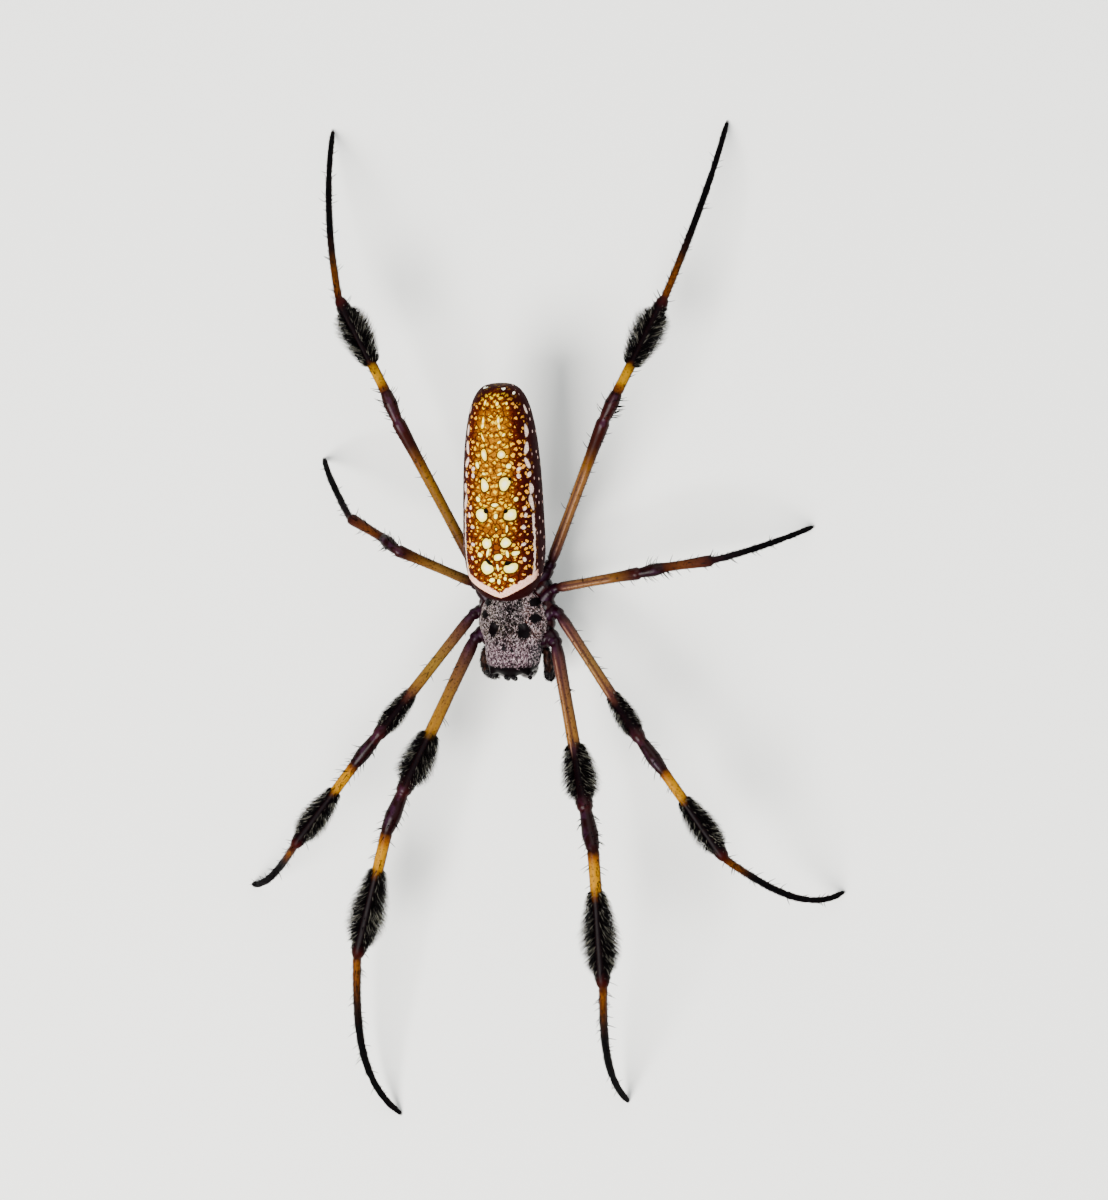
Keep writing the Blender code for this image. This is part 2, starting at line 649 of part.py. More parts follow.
def main():
    """Builds the body, then what grows from it."""
    abdomen, carapace = make_body()
    body_cutter = make_cutter("body_cutter", carapace.data.copy(), GAP)
    abdomen_cutter = make_cutter("abdomen_cutter", abdomen.data.copy(), GAP)
    make_eyes(carapace)
    make_mouthparts(body_cutter)
    make_tube_node("pedicel", PEDICEL_ROUTE, PEDICEL_SIZES, "maroon", [body_cutter, abdomen_cutter])
    make_spinnerets(abdomen_cutter)
    for name in POSES:
        make_leg(name, body_cutter)
    centre_on_floor()


main()
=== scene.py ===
"""Golden silk orb weaver: skins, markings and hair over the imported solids, with a floor, light and a camera.

Shapes are worked out in millimetres in the spider's own frame: her head points to -Y, her left is +X and
the floor is z = 0. They become metres in the model's frame where a mesh is made.
"""

import math
from collections import namedtuple

import bpy
import numpy as np
from mathutils import Matrix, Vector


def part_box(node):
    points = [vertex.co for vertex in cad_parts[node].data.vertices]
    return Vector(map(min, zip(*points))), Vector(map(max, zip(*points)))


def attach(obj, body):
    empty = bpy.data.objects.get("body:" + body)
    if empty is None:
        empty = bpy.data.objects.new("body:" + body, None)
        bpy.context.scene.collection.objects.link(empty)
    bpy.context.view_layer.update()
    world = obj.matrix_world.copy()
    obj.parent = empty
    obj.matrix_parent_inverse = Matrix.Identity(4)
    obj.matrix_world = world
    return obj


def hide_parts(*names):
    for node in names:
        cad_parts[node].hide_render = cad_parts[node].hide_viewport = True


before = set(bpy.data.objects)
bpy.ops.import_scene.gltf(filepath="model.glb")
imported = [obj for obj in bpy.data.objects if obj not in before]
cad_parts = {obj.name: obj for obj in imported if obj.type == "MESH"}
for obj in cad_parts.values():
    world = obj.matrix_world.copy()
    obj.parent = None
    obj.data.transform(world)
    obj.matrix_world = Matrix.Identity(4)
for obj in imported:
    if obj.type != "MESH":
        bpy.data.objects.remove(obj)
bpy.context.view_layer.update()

MM = 0.001
SEED = 20
SIDES = (("left", 1.0), ("right", -1.0))

# Body, as in the solids.
HEAD_FRONT_Y = -7.5
CARAPACE_REAR_Y = 1.3
CARAPACE_MARGIN_Z = 6.3
HEAD_HALF_WIDTH = 2.8
THORAX_HALF_WIDTH = 3.5
NECK_Y = (-4.6, -2.6)
HEAD_TOP = 2.9
THORAX_TOP = 1.9
STERNUM_DROP = 1.4
HEAD_BLUNTNESS = 4.5
REAR_BLUNTNESS = 2.4
CARAPACE_SQUARENESS = 2.5

ABDOMEN_FRONT = np.array((0.1, 0.35, 9.7))
ABDOMEN_LENGTH = 21.7
ABDOMEN_HALF_WIDTH = 4.1
ABDOMEN_FLATNESS = 0.94
ABDOMEN_WIDEST = 0.30
ABDOMEN_TAPER = 0.1
ABDOMEN_FRONT_BLUNTNESS = 2.8
ABDOMEN_REAR_BLUNTNESS = 3.5
ABDOMEN_UNDERCUT = 3.0
ABDOMEN_LIFT = math.radians(3.0)
ABDOMEN_TURN = math.radians(0.9)
ARC_RADIUS = 4.0               # turns an angle round the abdomen into millimetres of arc

# Legs, as in the solids: femur, patella, tibia and foot lengths for each pair.
LEG_LENGTHS = {
    1: (17.2, 4.2, 14.0, 20.4),
    2: (15.4, 3.8, 10.7, 15.7),
    3: (9.4, 2.6, 4.8, 11.6),
    4: (16.3, 3.1, 10.5, 19.1),
}
LEG_GIRTH = {1: 1.0, 2: 0.87, 3: 0.78, 4: 0.85}
HIP_Z = 6.5
COXA_ROOT_Z = 5.7
FOOT_TIP_Z = 0.16
FOOT_BEND = math.radians(30.0)
FOOT_STEPS = 12
ELBOW_RISE, ELBOW_BACK = 0.3, 0.9
COXA_ROOTS = {1: (1.9, -4.1), 2: (2.3, -2.3), 3: (2.3, -0.9), 4: (1.2, 1.0)}
Pose = namedtuple("Pose", "hip knee_z patella_z ankle_z femur patella tibia foot toe curl")
POSES = {
    "leg1_left": Pose((4.4, -4.5), 12.0, 14.0, 13.7, 164, 160, 176, 188, 166, 3.0),
    "leg1_right": Pose((-4.2, -4.4), 8.7, 9.2, 8.0, -156, -159, -165, -176, -220, 2.8),
    "leg2_left": Pose((4.8, -1.5), 10.6, 11.0, 10.6, 141, 141, 144, 131, 58, 3.2),
    "leg2_right": Pose((-4.4, -1.9), 10.8, 10.7, 11.5, -144, -141, -144, -141, -107, 1.4),
    "leg3_left": Pose((4.6, 1.3), 8.7, 8.5, 7.5, 77, 76, 81, 77, 68, 0.8),
    "leg3_right": Pose((-4.3, 1.5), 12.5, 11.0, 9.0, -58, -63, -68, -44, -57, 1.3),
    "leg4_left": Pose((3.9, 3.9), 9.8, 10.2, 7.4, 23, 27, 24, 21, 6, 1.4),
    "leg4_right": Pose((-4.35, 3.6), 10.0, 10.3, 9.5, -25, -21, -29, -16, -9, 0.8),
}

# Stations count along a leg: 0 root, 1 hip, 2 knee, 3 end of patella, 4 ankle, 5 toe.
KNEE_STATION, ANKLE_STATION, TOE_STATION = 2.0, 4.0, 5.0
COXA_STATIONS = (0.5, 0.7, 0.85)
# Diameter of the skin along a leg of girth one, as (station, millimetres). The hips are thicker than in the
# solids.
GIRTHS = (
    # Coxa and trochanter
    (0.0, 1.7), (0.25, 2.05), (0.55, 2.0), (0.73, 1.7), (0.785, 1.2), (0.82, 1.38), (0.93, 1.45),
    (0.985, 1.2), (1.0, 1.0),
    # Femur
    (1.015, 1.16), (1.06, 1.32), (1.35, 1.22), (1.75, 1.34), (1.92, 1.6), (1.98, 1.66), (2.0, 1.25),
    # Patella
    (2.03, 1.28), (2.2, 1.42), (2.6, 1.7), (2.85, 1.45), (2.97, 1.32), (3.0, 1.1),
    # Tibia
    (3.02, 1.26), (3.1, 1.18), (3.4, 1.2), (3.85, 1.5), (3.95, 1.46), (3.985, 1.16), (4.0, 0.8),
    # Foot
    (4.012, 0.9), (4.05, 0.82), (4.3, 0.76), (4.68, 0.7), (4.712, 0.54), (4.73, 0.66), (4.93, 0.6),
    (5.0, 0.48),
)
LEG_RING_STEP = 0.17
LEG_SIDES = 24
TOE_ROUNDING = 0.6             # how far the toe's end stands out, in radii
TOE_LOWEST_Z = 0.05

# Hair brushes by pair of legs, as (first station, last station, reach beyond the skin in millimetres).
BRUSHES = {
    1: ((1.61, 1.98, 1.25), (3.31, 3.97, 1.35)),
    2: ((1.64, 1.97, 0.6), (3.33, 3.96, 0.95)),
    4: ((3.30, 3.96, 1.3),),
}
LEG_NODES = ("coxa", "femur", "tibia", "foot")


def pair_of(name):
    """The pair that a leg belongs to, 1 to 4 from the front."""
    return int(name.removeprefix("leg")[0])


def find_shift():
    """From the spider's own frame to the model's: the carapace's middle and rear say where it lies."""
    low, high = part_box("cephalothorax")
    return np.array((0.5 * (low[0] + high[0]), high[1] - CARAPACE_REAR_Y * MM, 0.0))


SHIFT = find_shift()


# Mesh making

def put_mesh(name, points, faces, maps=None, marks=None):
    """A piece from arrays: points in millimetres, faces in arrays of 3 or 4 columns.

    maps holds UV maps by name, one pair for each face corner, and marks holds one number for each point.
    """
    mesh = bpy.data.meshes.new(name)
    corners = np.concatenate([part.ravel() for part in faces])
    sizes = np.concatenate([np.full(len(part), part.shape[1]) for part in faces])
    mesh.vertices.add(len(points))
    mesh.vertices.foreach_set("co", (points * MM + SHIFT).astype(np.float32).ravel())
    mesh.loops.add(len(corners))
    mesh.loops.foreach_set("vertex_index", corners.astype(np.int32))
    mesh.polygons.add(len(sizes))
    mesh.polygons.foreach_set("loop_start", (np.cumsum(sizes) - sizes).astype(np.int32))
    mesh.update(calc_edges=True)
    for label, pairs in (maps or {}).items():
        layer = mesh.uv_layers.new(name=label)
        layer.data.foreach_set("uv", pairs.astype(np.float32).ravel())
    for label, numbers in (marks or {}).items():
        layer = mesh.attributes.new(label, "FLOAT", "POINT")
        layer.data.foreach_set("value", numbers.astype(np.float32))
    mesh.shade_smooth()
    piece = bpy.data.objects.new(name, mesh)
    bpy.context.scene.collection.objects.link(piece)
    return piece


def dress(piece, material, nodes=()):
    """Gives a piece its material and says what it rides on and stands for."""
    piece.data.materials.append(material)
    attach(piece, "root")
    if nodes:
        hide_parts(*nodes)


def volume_inside(points, quads, triangles):
    """Six times the volume inside a closed skin: the sum of one . (two x three) over its triangles."""
    triangles = np.concatenate((triangles, quads[:, (0, 1, 2)], quads[:, (0, 2, 3)]))
    one, two, three = (points[triangles[:, corner]] for corner in range(3))
    return np.einsum("ij,ij->", one, np.cross(two, three))


def ring_skin(name, rings, start, end, lay, marks=None):
    """A closed skin over rings of points with a fan to a point at each end.

    rings is (rows, around, 3). lay is (rows, around + 1, 2), the pattern place of each ring point, with the
    first column again at the end so that the pattern has no gap at the seam. marks holds one number for
    each ring point by name.
    """
    rows, around = rings.shape[:2]
    row = np.arange(rows - 1)[:, None]
    column = np.arange(around)[None, :]
    after = (column + 1) % around
    quads = np.stack((row * around + column, row * around + after,
                      (row + 1) * around + after, (row + 1) * around + column), -1).reshape(-1, 4)
    pairs = np.stack((lay[:-1, :-1], lay[:-1, 1:], lay[1:, 1:], lay[1:, :-1]), 2).reshape(-1, 4, 2)
    points = np.concatenate((rings.reshape(-1, 3), [start, end]))
    step = np.arange(around)
    first, last = rows * around, rows * around + 1
    base = (rows - 1) * around
    fans = np.stack((
        np.stack((np.full(around, first), (step + 1) % around, step), -1),
        np.stack((np.full(around, last), base + step, base + (step + 1) % around), -1),
    )).reshape(-1, 3)
    middle = 0.5 * (lay[:, :-1] + lay[:, 1:])
    fan_pairs = np.stack((
        np.stack((middle[0], lay[0, 1:], lay[0, :-1]), 1),
        np.stack((middle[-1], lay[-1, :-1], lay[-1, 1:]), 1),
    )).reshape(-1, 3, 2)
    if volume_inside(points, quads, fans) < 0.0:
        quads, pairs, fans, fan_pairs = quads[:, ::-1], pairs[:, ::-1], fans[:, ::-1], fan_pairs[:, ::-1]
    corners = np.concatenate((pairs.reshape(-1, 2), fan_pairs.reshape(-1, 2)))
    marks = {label: np.concatenate((values.ravel(), (values[0, 0], values[-1, 0])))
             for label, values in (marks or {}).items()}
    return put_mesh(name, points, (quads, fans), {"Lay": corners}, marks)


def unit(vectors):
    """Vectors brought to length one."""
    return vectors / np.maximum(np.linalg.norm(vectors, axis=-1, keepdims=True), 1e-9)


def smooth_step(value, low, high):
    """Rises from 0 to 1 between low and high with level ends."""
    share = np.clip((value - low) / (high - low), 0.0, 1.0)
    return share * share * (3.0 - 2.0 * share)


def power(value, exponent):
    """Raises the size of a signed value and keeps its sign."""
    return np.sign(value) * np.abs(value) ** exponent


def turned(first, second, angle):
    """Two coordinates after a turn in their plane, from the first towards the second."""
    return (first * math.cos(angle) - second * math.sin(angle),
            first * math.sin(angle) + second * math.cos(angle))


def distance_along(path):
    """The distance from a path's start to each of its points."""
    return np.concatenate(([0.0], np.cumsum(np.linalg.norm(np.diff(path, axis=0), axis=1))))


def read_off(place, places, points):
    """Points or directions read off a table by their place in it."""
    return np.stack([np.interp(place, places, points[:, axis]) for axis in range(3)], -1)


def spot_nearness(x, y, spots):
    """Distance from the nearest spot, where 1 is its edge."""
    nearest = np.full(np.shape(x), 9.0)
    for spot_x, spot_y, half_width, half_length, *turn in spots:
        across, along = turned(x - spot_x, y - spot_y, -math.radians(turn[0] if turn else 0.0))
        nearest = np.minimum(nearest, np.hypot(across / half_width, along / half_length))
    return nearest


def path_frames(path):
    """Tangent, side and top of a path: top is the upright direction square to the tangent."""
    ahead = unit(np.gradient(path, axis=0))
    side = unit(np.cross(ahead, (0.0, 0.0, 1.0)))
    return ahead, side, np.cross(side, ahead)


def tube_rings(path, radii, sides, floor=None):
    """Rings about a path: each point is centre + radius * (top * cos + side * sin). Angle 0 is the top."""
    _, side, top = path_frames(path)
    angle = np.linspace(-math.pi, math.pi, sides, endpoint=False)[None, :, None]
    spokes = top[:, None] * np.cos(angle) + side[:, None] * np.sin(angle)
    rings = path[:, None] + radii[:, None, None] * spokes
    if floor is not None:
        rings[..., 2] = np.maximum(rings[..., 2], floor)
    return rings


def tube_lay(along, sides):
    """Pattern place of a tube's rings: the part of a turn from the top, and the place along it."""
    around = np.linspace(-0.5, 0.5, sides + 1)
    return np.stack(np.broadcast_arrays(around[None, :], along[:, None]), -1)


def round_path(points, count):
    """A smooth path through points, by cubic pieces whose slopes come from the neighbours."""
    points = np.array(points, float)
    slopes = np.gradient(points, axis=0)
    place = np.linspace(0.0, len(points) - 1.0, count)
    index = np.minimum(place.astype(int), len(points) - 2)
    t = (place - index)[:, None]
    p, q = points[index], points[index + 1]
    m, n = slopes[index], slopes[index + 1]
    return ((2 * t**3 - 3 * t**2 + 1) * p + (t**3 - 2 * t**2 + t) * m
            + (3 * t**2 - 2 * t**3) * q + (t**3 - t**2) * n)


TUBE_END = 0.35                # length of a tube's rounded end for each millimetre of its size


def tube_piece(name, route, sizes, count, sides):
    """A smooth closed tube along a route, rounded off at its ends like half an ellipse."""
    path = round_path(route, count)
    share = np.linspace(0.0, 1.0, count)
    radii = 0.5 * np.interp(share, np.linspace(0.0, 1.0, len(sizes)), sizes)
    travel = distance_along(path)
    from_end = np.minimum(travel, travel[-1] - travel) / (TUBE_END * np.array(sizes).max())
    radii = radii * np.sqrt(np.clip(1.0 - (1.0 - np.clip(from_end, 0.02, 1.0)) ** 2, 0.0, 1.0))
    return ring_skin(name, tube_rings(path, radii, sides), path[0], path[-1], tube_lay(share, sides))


# Legs

def heading(degrees):
    """The plan direction of a heading: 0 is +Y and 90 is +X."""
    angle = np.radians(degrees)
    return np.stack((np.sin(angle), np.cos(angle), np.zeros_like(angle)), -1)


def hip_keys(name):
    """Points from a leg's root to its hip: a straight part, then a bend round an elbow behind the hip."""
    pose = POSES[name]
    root_x, root_y = COXA_ROOTS[pair_of(name)]
    root = np.array((root_x if name.endswith("left") else -root_x, root_y, COXA_ROOT_Z))
    hip = np.array((*pose.hip, HIP_Z))
    elbow = hip * (1, 1, 0) + (0, 0, COXA_ROOT_Z + ELBOW_RISE) - heading(pose.femur) * ELBOW_BACK
    start = 0.5 * (root + elbow)
    bend = [(1 - t) ** 2 * start + 2 * t * (1 - t) * elbow + t * t * hip for t in (0.25, 0.5, 0.75)]
    return [root, *bend, hip]


def foot_keys(ankle, length, pose):
    """Points of a foot: it dips more and more in even steps while its heading turns towards the toe's."""
    share = (np.arange(FOOT_STEPS) + 0.5) / FOOT_STEPS
    chord = length * math.sin(FOOT_BEND / 2) / (FOOT_BEND / 2)
    dip = math.asin(min((ankle[2] - FOOT_TIP_Z) / chord, 1.0)) + FOOT_BEND * (share - 0.5)
    turn = pose.foot + (pose.toe - pose.foot) * share**pose.curl
    steps = heading(turn) * np.cos(dip)[:, None] - np.array((0.0, 0.0, 1.0)) * np.sin(dip)[:, None]
    return ankle + np.cumsum(steps, axis=0) * length / FOOT_STEPS


def leg_line(name):
    """The leg's centre line at even steps, with the station and the radius of the skin at each step."""
    pair, pose = pair_of(name), POSES[name]
    keys = hip_keys(name)
    stations = [0.0, *COXA_STATIONS, 1.0]
    femur, patella, tibia, foot = LEG_LENGTHS[pair]
    for length, turn, end_z in ((femur, pose.femur, pose.knee_z), (patella, pose.patella, pose.patella_z),
                                (tibia, pose.tibia, pose.ankle_z)):
        rise = end_z - keys[-1][2]
        keys.append(keys[-1] + heading(turn) * math.sqrt(length**2 - rise**2) + (0.0, 0.0, rise))
        stations.append(stations[-1] + 1.0)
    keys = np.concatenate((keys, foot_keys(keys[-1], foot, pose)))
    stations = np.concatenate((stations, ANKLE_STATION + np.arange(1, FOOT_STEPS + 1) / FOOT_STEPS))
    travel = distance_along(keys)
    even = np.linspace(0.0, travel[-1], int(travel[-1] / LEG_RING_STEP))
    line = read_off(even, travel, keys)
    station = np.interp(even, travel, stations)
    for axis in range(3):
        line[2:-2, axis] = np.convolve(line[:, axis], np.full(5, 0.2), "valid")
    radius = 0.5 * LEG_GIRTH[pair] * np.interp(station, *zip(*GIRTHS))
    return line, station, radius


def leg_skin(name):
    """One skin from the hip's root to the toe, pressed flat where it stands on the floor."""
    line, station, radius = leg_line(name)
    rings = tube_rings(line, radius, LEG_SIDES, floor=0.0)
    toe = line[-1] + unit(line[-1] - line[-2]) * radius[-1] * TOE_ROUNDING
    toe[2] = max(toe[2], TOE_LOWEST_Z)
    return ring_skin(name + "_shell", rings, line[0], toe, tube_lay(station, LEG_SIDES))


# Hair

Hairs = namedtuple("Hairs", "roots ahead out length thickness root_lean tip_lean sway glint places")
HAIR_SHARES = np.array((0.0, 0.38, 0.74, 1.0))
HAIR_TAPER = np.array((1.0, 0.85, 0.5))
HAIR_PATCH = 0.003             # size of each hair's patch on the unwrap
UNWRAP_MARGIN = 0.02
HAIR_LOWEST_Z = 0.01
ROOT_DEPTH = 0.05


def grow_hair(hairs):
    """Centre lines of hairs that bend from root_lean to tip_lean, and the direction across each hair.

    A hair's direction is ahead * cos(lean) + out * sin(lean) + across * sway. It is followed in steps, so the
    curve is the sum of its directions times the step lengths.
    """
    across = unit(np.cross(hairs.ahead, hairs.out))
    line = [hairs.roots]
    for low, high in zip(HAIR_SHARES[:-1], HAIR_SHARES[1:]):
        lean = (hairs.root_lean + (hairs.tip_lean - hairs.root_lean) * (0.5 * (low + high)))[:, None]
        way = unit(hairs.ahead * np.cos(lean) + hairs.out * np.sin(lean) + across * hairs.sway[:, None])
        line.append(line[-1] + way * (hairs.length * (high - low))[:, None])
    return np.stack(line, 1), across


def hair_mesh(name, hairs, flat=1.0):
    """Hairs as closed, tapered, three-sided rods joined in one mesh.

    Each ring holds centre + thickness * taper * (across * cos + normal * sin / flat) at three angles, and the
    last centre is the tip. Each hair has a small patch of the unwrap, at the place of its root.
    """
    line, across = grow_hair(hairs)
    count, rings = len(line), len(HAIR_TAPER)
    normal = unit(np.cross(line[:, 1] - line[:, 0], across))
    angle = np.radians((90.0, 210.0, 330.0))
    spokes = (across[:, None] * np.cos(angle)[None, :, None]
              + normal[:, None] * np.sin(angle)[None, :, None] / flat) * 0.5
    sizes = hairs.thickness[:, None] * HAIR_TAPER
    rods = line[:, :rings, None] + spokes[:, None] * sizes[:, :, None, None]
    points = np.concatenate((rods.reshape(count, -1, 3), line[:, -1:]), 1)
    each = points.shape[1]
    edges = [(3 * ring + side, 3 * ring + (side + 1) % 3) for ring in range(rings) for side in range(3)]
    walls = np.array([(one, two, two + 3, one + 3) for one, two in edges[:-3]])
    ends = np.array([(2, 1, 0)] + [(one, two, each - 1) for one, two in edges[-3:]])
    base = np.arange(count)[:, None, None] * each
    faces = [(base + part).reshape(-1, part.shape[1]) for part in (walls, ends)]
    patch = [(0.5 * (side - 1), ring / rings - 0.5) for ring in range(rings) for side in range(3)]
    patches = hairs.places[:, None] + HAIR_PATCH * np.array([*patch, (0.0, 0.5)])
    corners = np.concatenate([patches[:, part].reshape(-1, 2) for part in (walls, ends)])
    marks = {
        "Glint": np.repeat(hairs.glint, each),
        "Reach": np.tile(np.append(np.repeat(HAIR_SHARES[:rings], 3), 1.0), count),
    }
    points = points.reshape(-1, 3)
    points[:, 2] = np.maximum(points[:, 2], HAIR_LOWEST_Z)
    return put_mesh(name, points, faces, {"OFBake": corners}, marks)


def tube_places(share, angle):
    """Where a root lies on a tube's unwrap: round it and along it, inside a small margin."""
    inside = 1.0 - 2.0 * UNWRAP_MARGIN
    return np.stack((0.5 + inside * angle / (2 * math.pi), UNWRAP_MARGIN + inside * share), -1)


def on_leg(name, station, angle):
    """Roots just inside a leg's skin by station and angle from the top, and the directions ahead and out."""
    line, stations, radius = leg_line(name)
    ahead, side, top = (unit(read_off(station, stations, way)) for way in path_frames(line))
    out = top * np.cos(angle)[:, None] + side * np.sin(angle)[:, None]
    depth = np.interp(station, stations, radius) - ROOT_DEPTH
    return read_off(station, stations, line) + out * depth[:, None], ahead, out


BRUSH_HAIRS_PER_MM = 640
BRUSH_BARE = math.radians(24.0)        # half of the bare stripe on top
BRUSH_FULL = 1.35                      # angle from the top at which the hairs have their full length
BRUSH_THICKNESS = 0.033
BRUSH_LEANS = (1.2, 0.7)
BRUSH_RISE = 0.81                      # how far a hair of length one with these leans stands out
# Painted glints: hairs whose Glint lies past these are painted pale, and are also longer and thicker.
LIGHT_GLINTS = (0.93, 0.95)            # a hair turns light, longer and thicker between these


def brush_swell(share):
    """How far a brush stands out along its length, from 0 at its ends to 1."""
    return np.sin(math.pi * np.clip(share, 0.0, 1.0) ** 1.12) ** 0.7


def brush_hairs(name, first, last, reach, chance):
    """The hairs of one brush: rooted all round but for a bare stripe on top, and bent towards the toe.

    advance is how far, in stations, a tip stands ahead of its root. The swell is read at the tip.
    """
    segment = LEG_LENGTHS[pair_of(name)][0 if first < KNEE_STATION else 2]
    many = int(BRUSH_HAIRS_PER_MM * (last - first) * segment)
    advance = 0.75 * reach / segment
    station = chance.uniform(first - 0.2 * advance, last - 0.5 * advance, many)
    angle = chance.uniform(-1.0, 1.0, many)
    angle = np.sign(angle) * (BRUSH_BARE + (math.pi - BRUSH_BARE) * np.abs(angle))
    roots, ahead, out = on_leg(name, station, angle)
    glint = chance.uniform(0.0, 1.0, many)
    light = smooth_step(glint, *LIGHT_GLINTS)
    swell = np.maximum(brush_swell((station + advance - first) / (last - first)), 0.12)
    tall = swell * reach * chance.uniform(0.6, 1.15, many) * (1.0 + 0.1 * light)
    tall = tall * (0.5 + 0.62 * smooth_step(np.abs(angle), BRUSH_BARE, BRUSH_FULL))
    tilt = chance.normal(0.0, 0.06, many)
    root_lean, tip_lean = (lean + tilt for lean in BRUSH_LEANS)
    sway = chance.normal(0.0, 0.07, many)
    thickness = BRUSH_THICKNESS * chance.uniform(0.75, 1.2, many) * (1.0 + 0.2 * light)
    return Hairs(roots, ahead, out, (tall + ROOT_DEPTH) / BRUSH_RISE, thickness, root_lean, tip_lean, sway,
                 glint, tube_places(station / TOE_STATION, angle))


# Hair of a leg beside its brushes, in this order: hair all along it, dense down on the foot, and bristles.
SHORT_PER_MM = (28.0, 130.0, 2.5)
SHORTEST = np.array((0.14, 0.2, 0.6))
LONGEST = np.array((0.34, 0.36, 1.15))
SHORT_THICKNESS = np.array((0.034, 0.04, 0.105))
SHORT_STEEPER = np.array((0.0, -0.2, 0.15))
FOOT_END_STATION = 4.6                 # the hairs beyond it are shorter


def short_hairs(name, chance):
    """Short hairs all along a leg, a dense down on the foot and a few longer bristles, leaning to the toe.

    The first are even by length from hip to toe. The others are a little denser towards the toe.
    """
    lengths = LEG_LENGTHS[pair_of(name)]
    spans = (sum(lengths), lengths[3], sum(lengths))
    many, down, bristles = (int(each * span) for each, span in zip(SHORT_PER_MM, spans))
    edges = np.concatenate(([0.0], np.cumsum(lengths))) / sum(lengths)
    station = np.concatenate((
        1.0 + np.interp(chance.uniform(0.0, 0.985, many), edges, np.arange(5.0)),
        4.01 + 0.96 * chance.uniform(0.0, 1.0, down) ** 0.8,
        1.1 + 3.75 * chance.uniform(0.0, 1.0, bristles) ** 0.8,
    ))
    kind = np.repeat((0, 1, 2), (many, down, bristles))
    total = len(station)
    angle = chance.uniform(-math.pi, math.pi, total)
    roots, ahead, out = on_leg(name, station, angle)
    length = chance.uniform(SHORTEST[kind], LONGEST[kind]) * np.where(station > FOOT_END_STATION, 0.8, 1.0)
    thickness = SHORT_THICKNESS[kind] * chance.uniform(0.8, 1.15, total)
    root_lean = chance.uniform(0.8, 1.15, total) + SHORT_STEEPER[kind]
    tip_lean = chance.uniform(0.45, 0.8, total) + SHORT_STEEPER[kind]
    sway = chance.normal(0.0, 0.16, total)
    glint = chance.uniform(0.0, 0.75, total)
    return Hairs(roots, ahead, out, length, thickness, root_lean, tip_lean, sway, glint,
                 tube_places(station / TOE_STATION, angle))


def leg_hair(name):
    """The hair of one leg: a piece of down and bristles, and a piece for its brushes where it has them."""
    chance = np.random.default_rng(SEED + list(POSES).index(name))
    groups = {"down": [short_hairs(name, chance)]}
    for first, last, reach in BRUSHES.get(pair_of(name), ()):
        groups.setdefault("brush", []).append(brush_hairs(name, first, last, reach, chance))
    return [hair_mesh(f"{name}_{label}", Hairs(*map(np.concatenate, zip(*parts))))
            for label, parts in groups.items()]


TUBE_HAIR_POINTS = 120
TUBE_HAIR_THICKNESS = 0.045


def tube_hair(name, route, sizes, count, longest):
    """Hair along a small tube, leaning towards its tip and longer there."""
    chance = np.random.default_rng(SEED + len(name))
    path = round_path(route, TUBE_HAIR_POINTS)
    ahead, side, top = path_frames(path)
    share = chance.uniform(0.12, 0.98, count) ** 0.8
    index = (share * (TUBE_HAIR_POINTS - 1)).astype(int)
    angle = chance.uniform(-math.pi, math.pi, count)
    out = top[index] * np.cos(angle)[:, None] + side[index] * np.sin(angle)[:, None]
    radius = 0.5 * np.interp(share, np.linspace(0.0, 1.0, len(sizes)), sizes)
    roots = path[index] + out * (radius * 0.92)[:, None]
    length = longest * (0.35 + 0.65 * share) * chance.uniform(0.6, 1.1, count)
    root_lean = chance.uniform(0.5, 1.0, count)
    tip_lean = chance.uniform(0.1, 0.5, count)
    thickness = TUBE_HAIR_THICKNESS * chance.uniform(0.8, 1.2, count)
    sway = chance.normal(0.0, 0.2, count)
    glint = chance.uniform(0.0, 0.8, count)
    places = tube_places(share, angle)
    hairs = Hairs(roots, ahead[index], out, length, thickness, root_lean, tip_lean, sway, glint, places)
    return hair_mesh(name, hairs)


# Abdomen and carapace

def abdomen_surface(along, angle):
    """The long sausage of the solids: place by along, -1 front to 1 tail, and by the angle from the top.

    Also gives t, the distance from the front along the middle line, and the half width there.
    """
    radial = np.sqrt(np.maximum(1.0 - along**2, 0.0))
    bluntness = np.where(along < 0.0, ABDOMEN_FRONT_BLUNTNESS, ABDOMEN_REAR_BLUNTNESS)
    reach = power(along, 2.0 / bluntness)
    widest = ABDOMEN_WIDEST * ABDOMEN_LENGTH
    t = np.where(along < 0.0, widest * (1.0 + reach), widest + (ABDOMEN_LENGTH - widest) * reach)
    width = ABDOMEN_HALF_WIDTH * radial ** (2.0 / bluntness) * (1.0 - ABDOMEN_TAPER * np.maximum(reach, 0.0))
    up = np.cos(angle)
    y = t + ABDOMEN_UNDERCUT * np.maximum(-along, 0.0) * radial * np.maximum(-up, 0.0) ** 2
    x = width * np.sin(angle)
    z = width * ABDOMEN_FLATNESS * up
    y, z = turned(y, z, ABDOMEN_LIFT)
    x, y = turned(x, y, ABDOMEN_TURN)
    return np.stack((x, y, z), -1) + ABDOMEN_FRONT, t, width


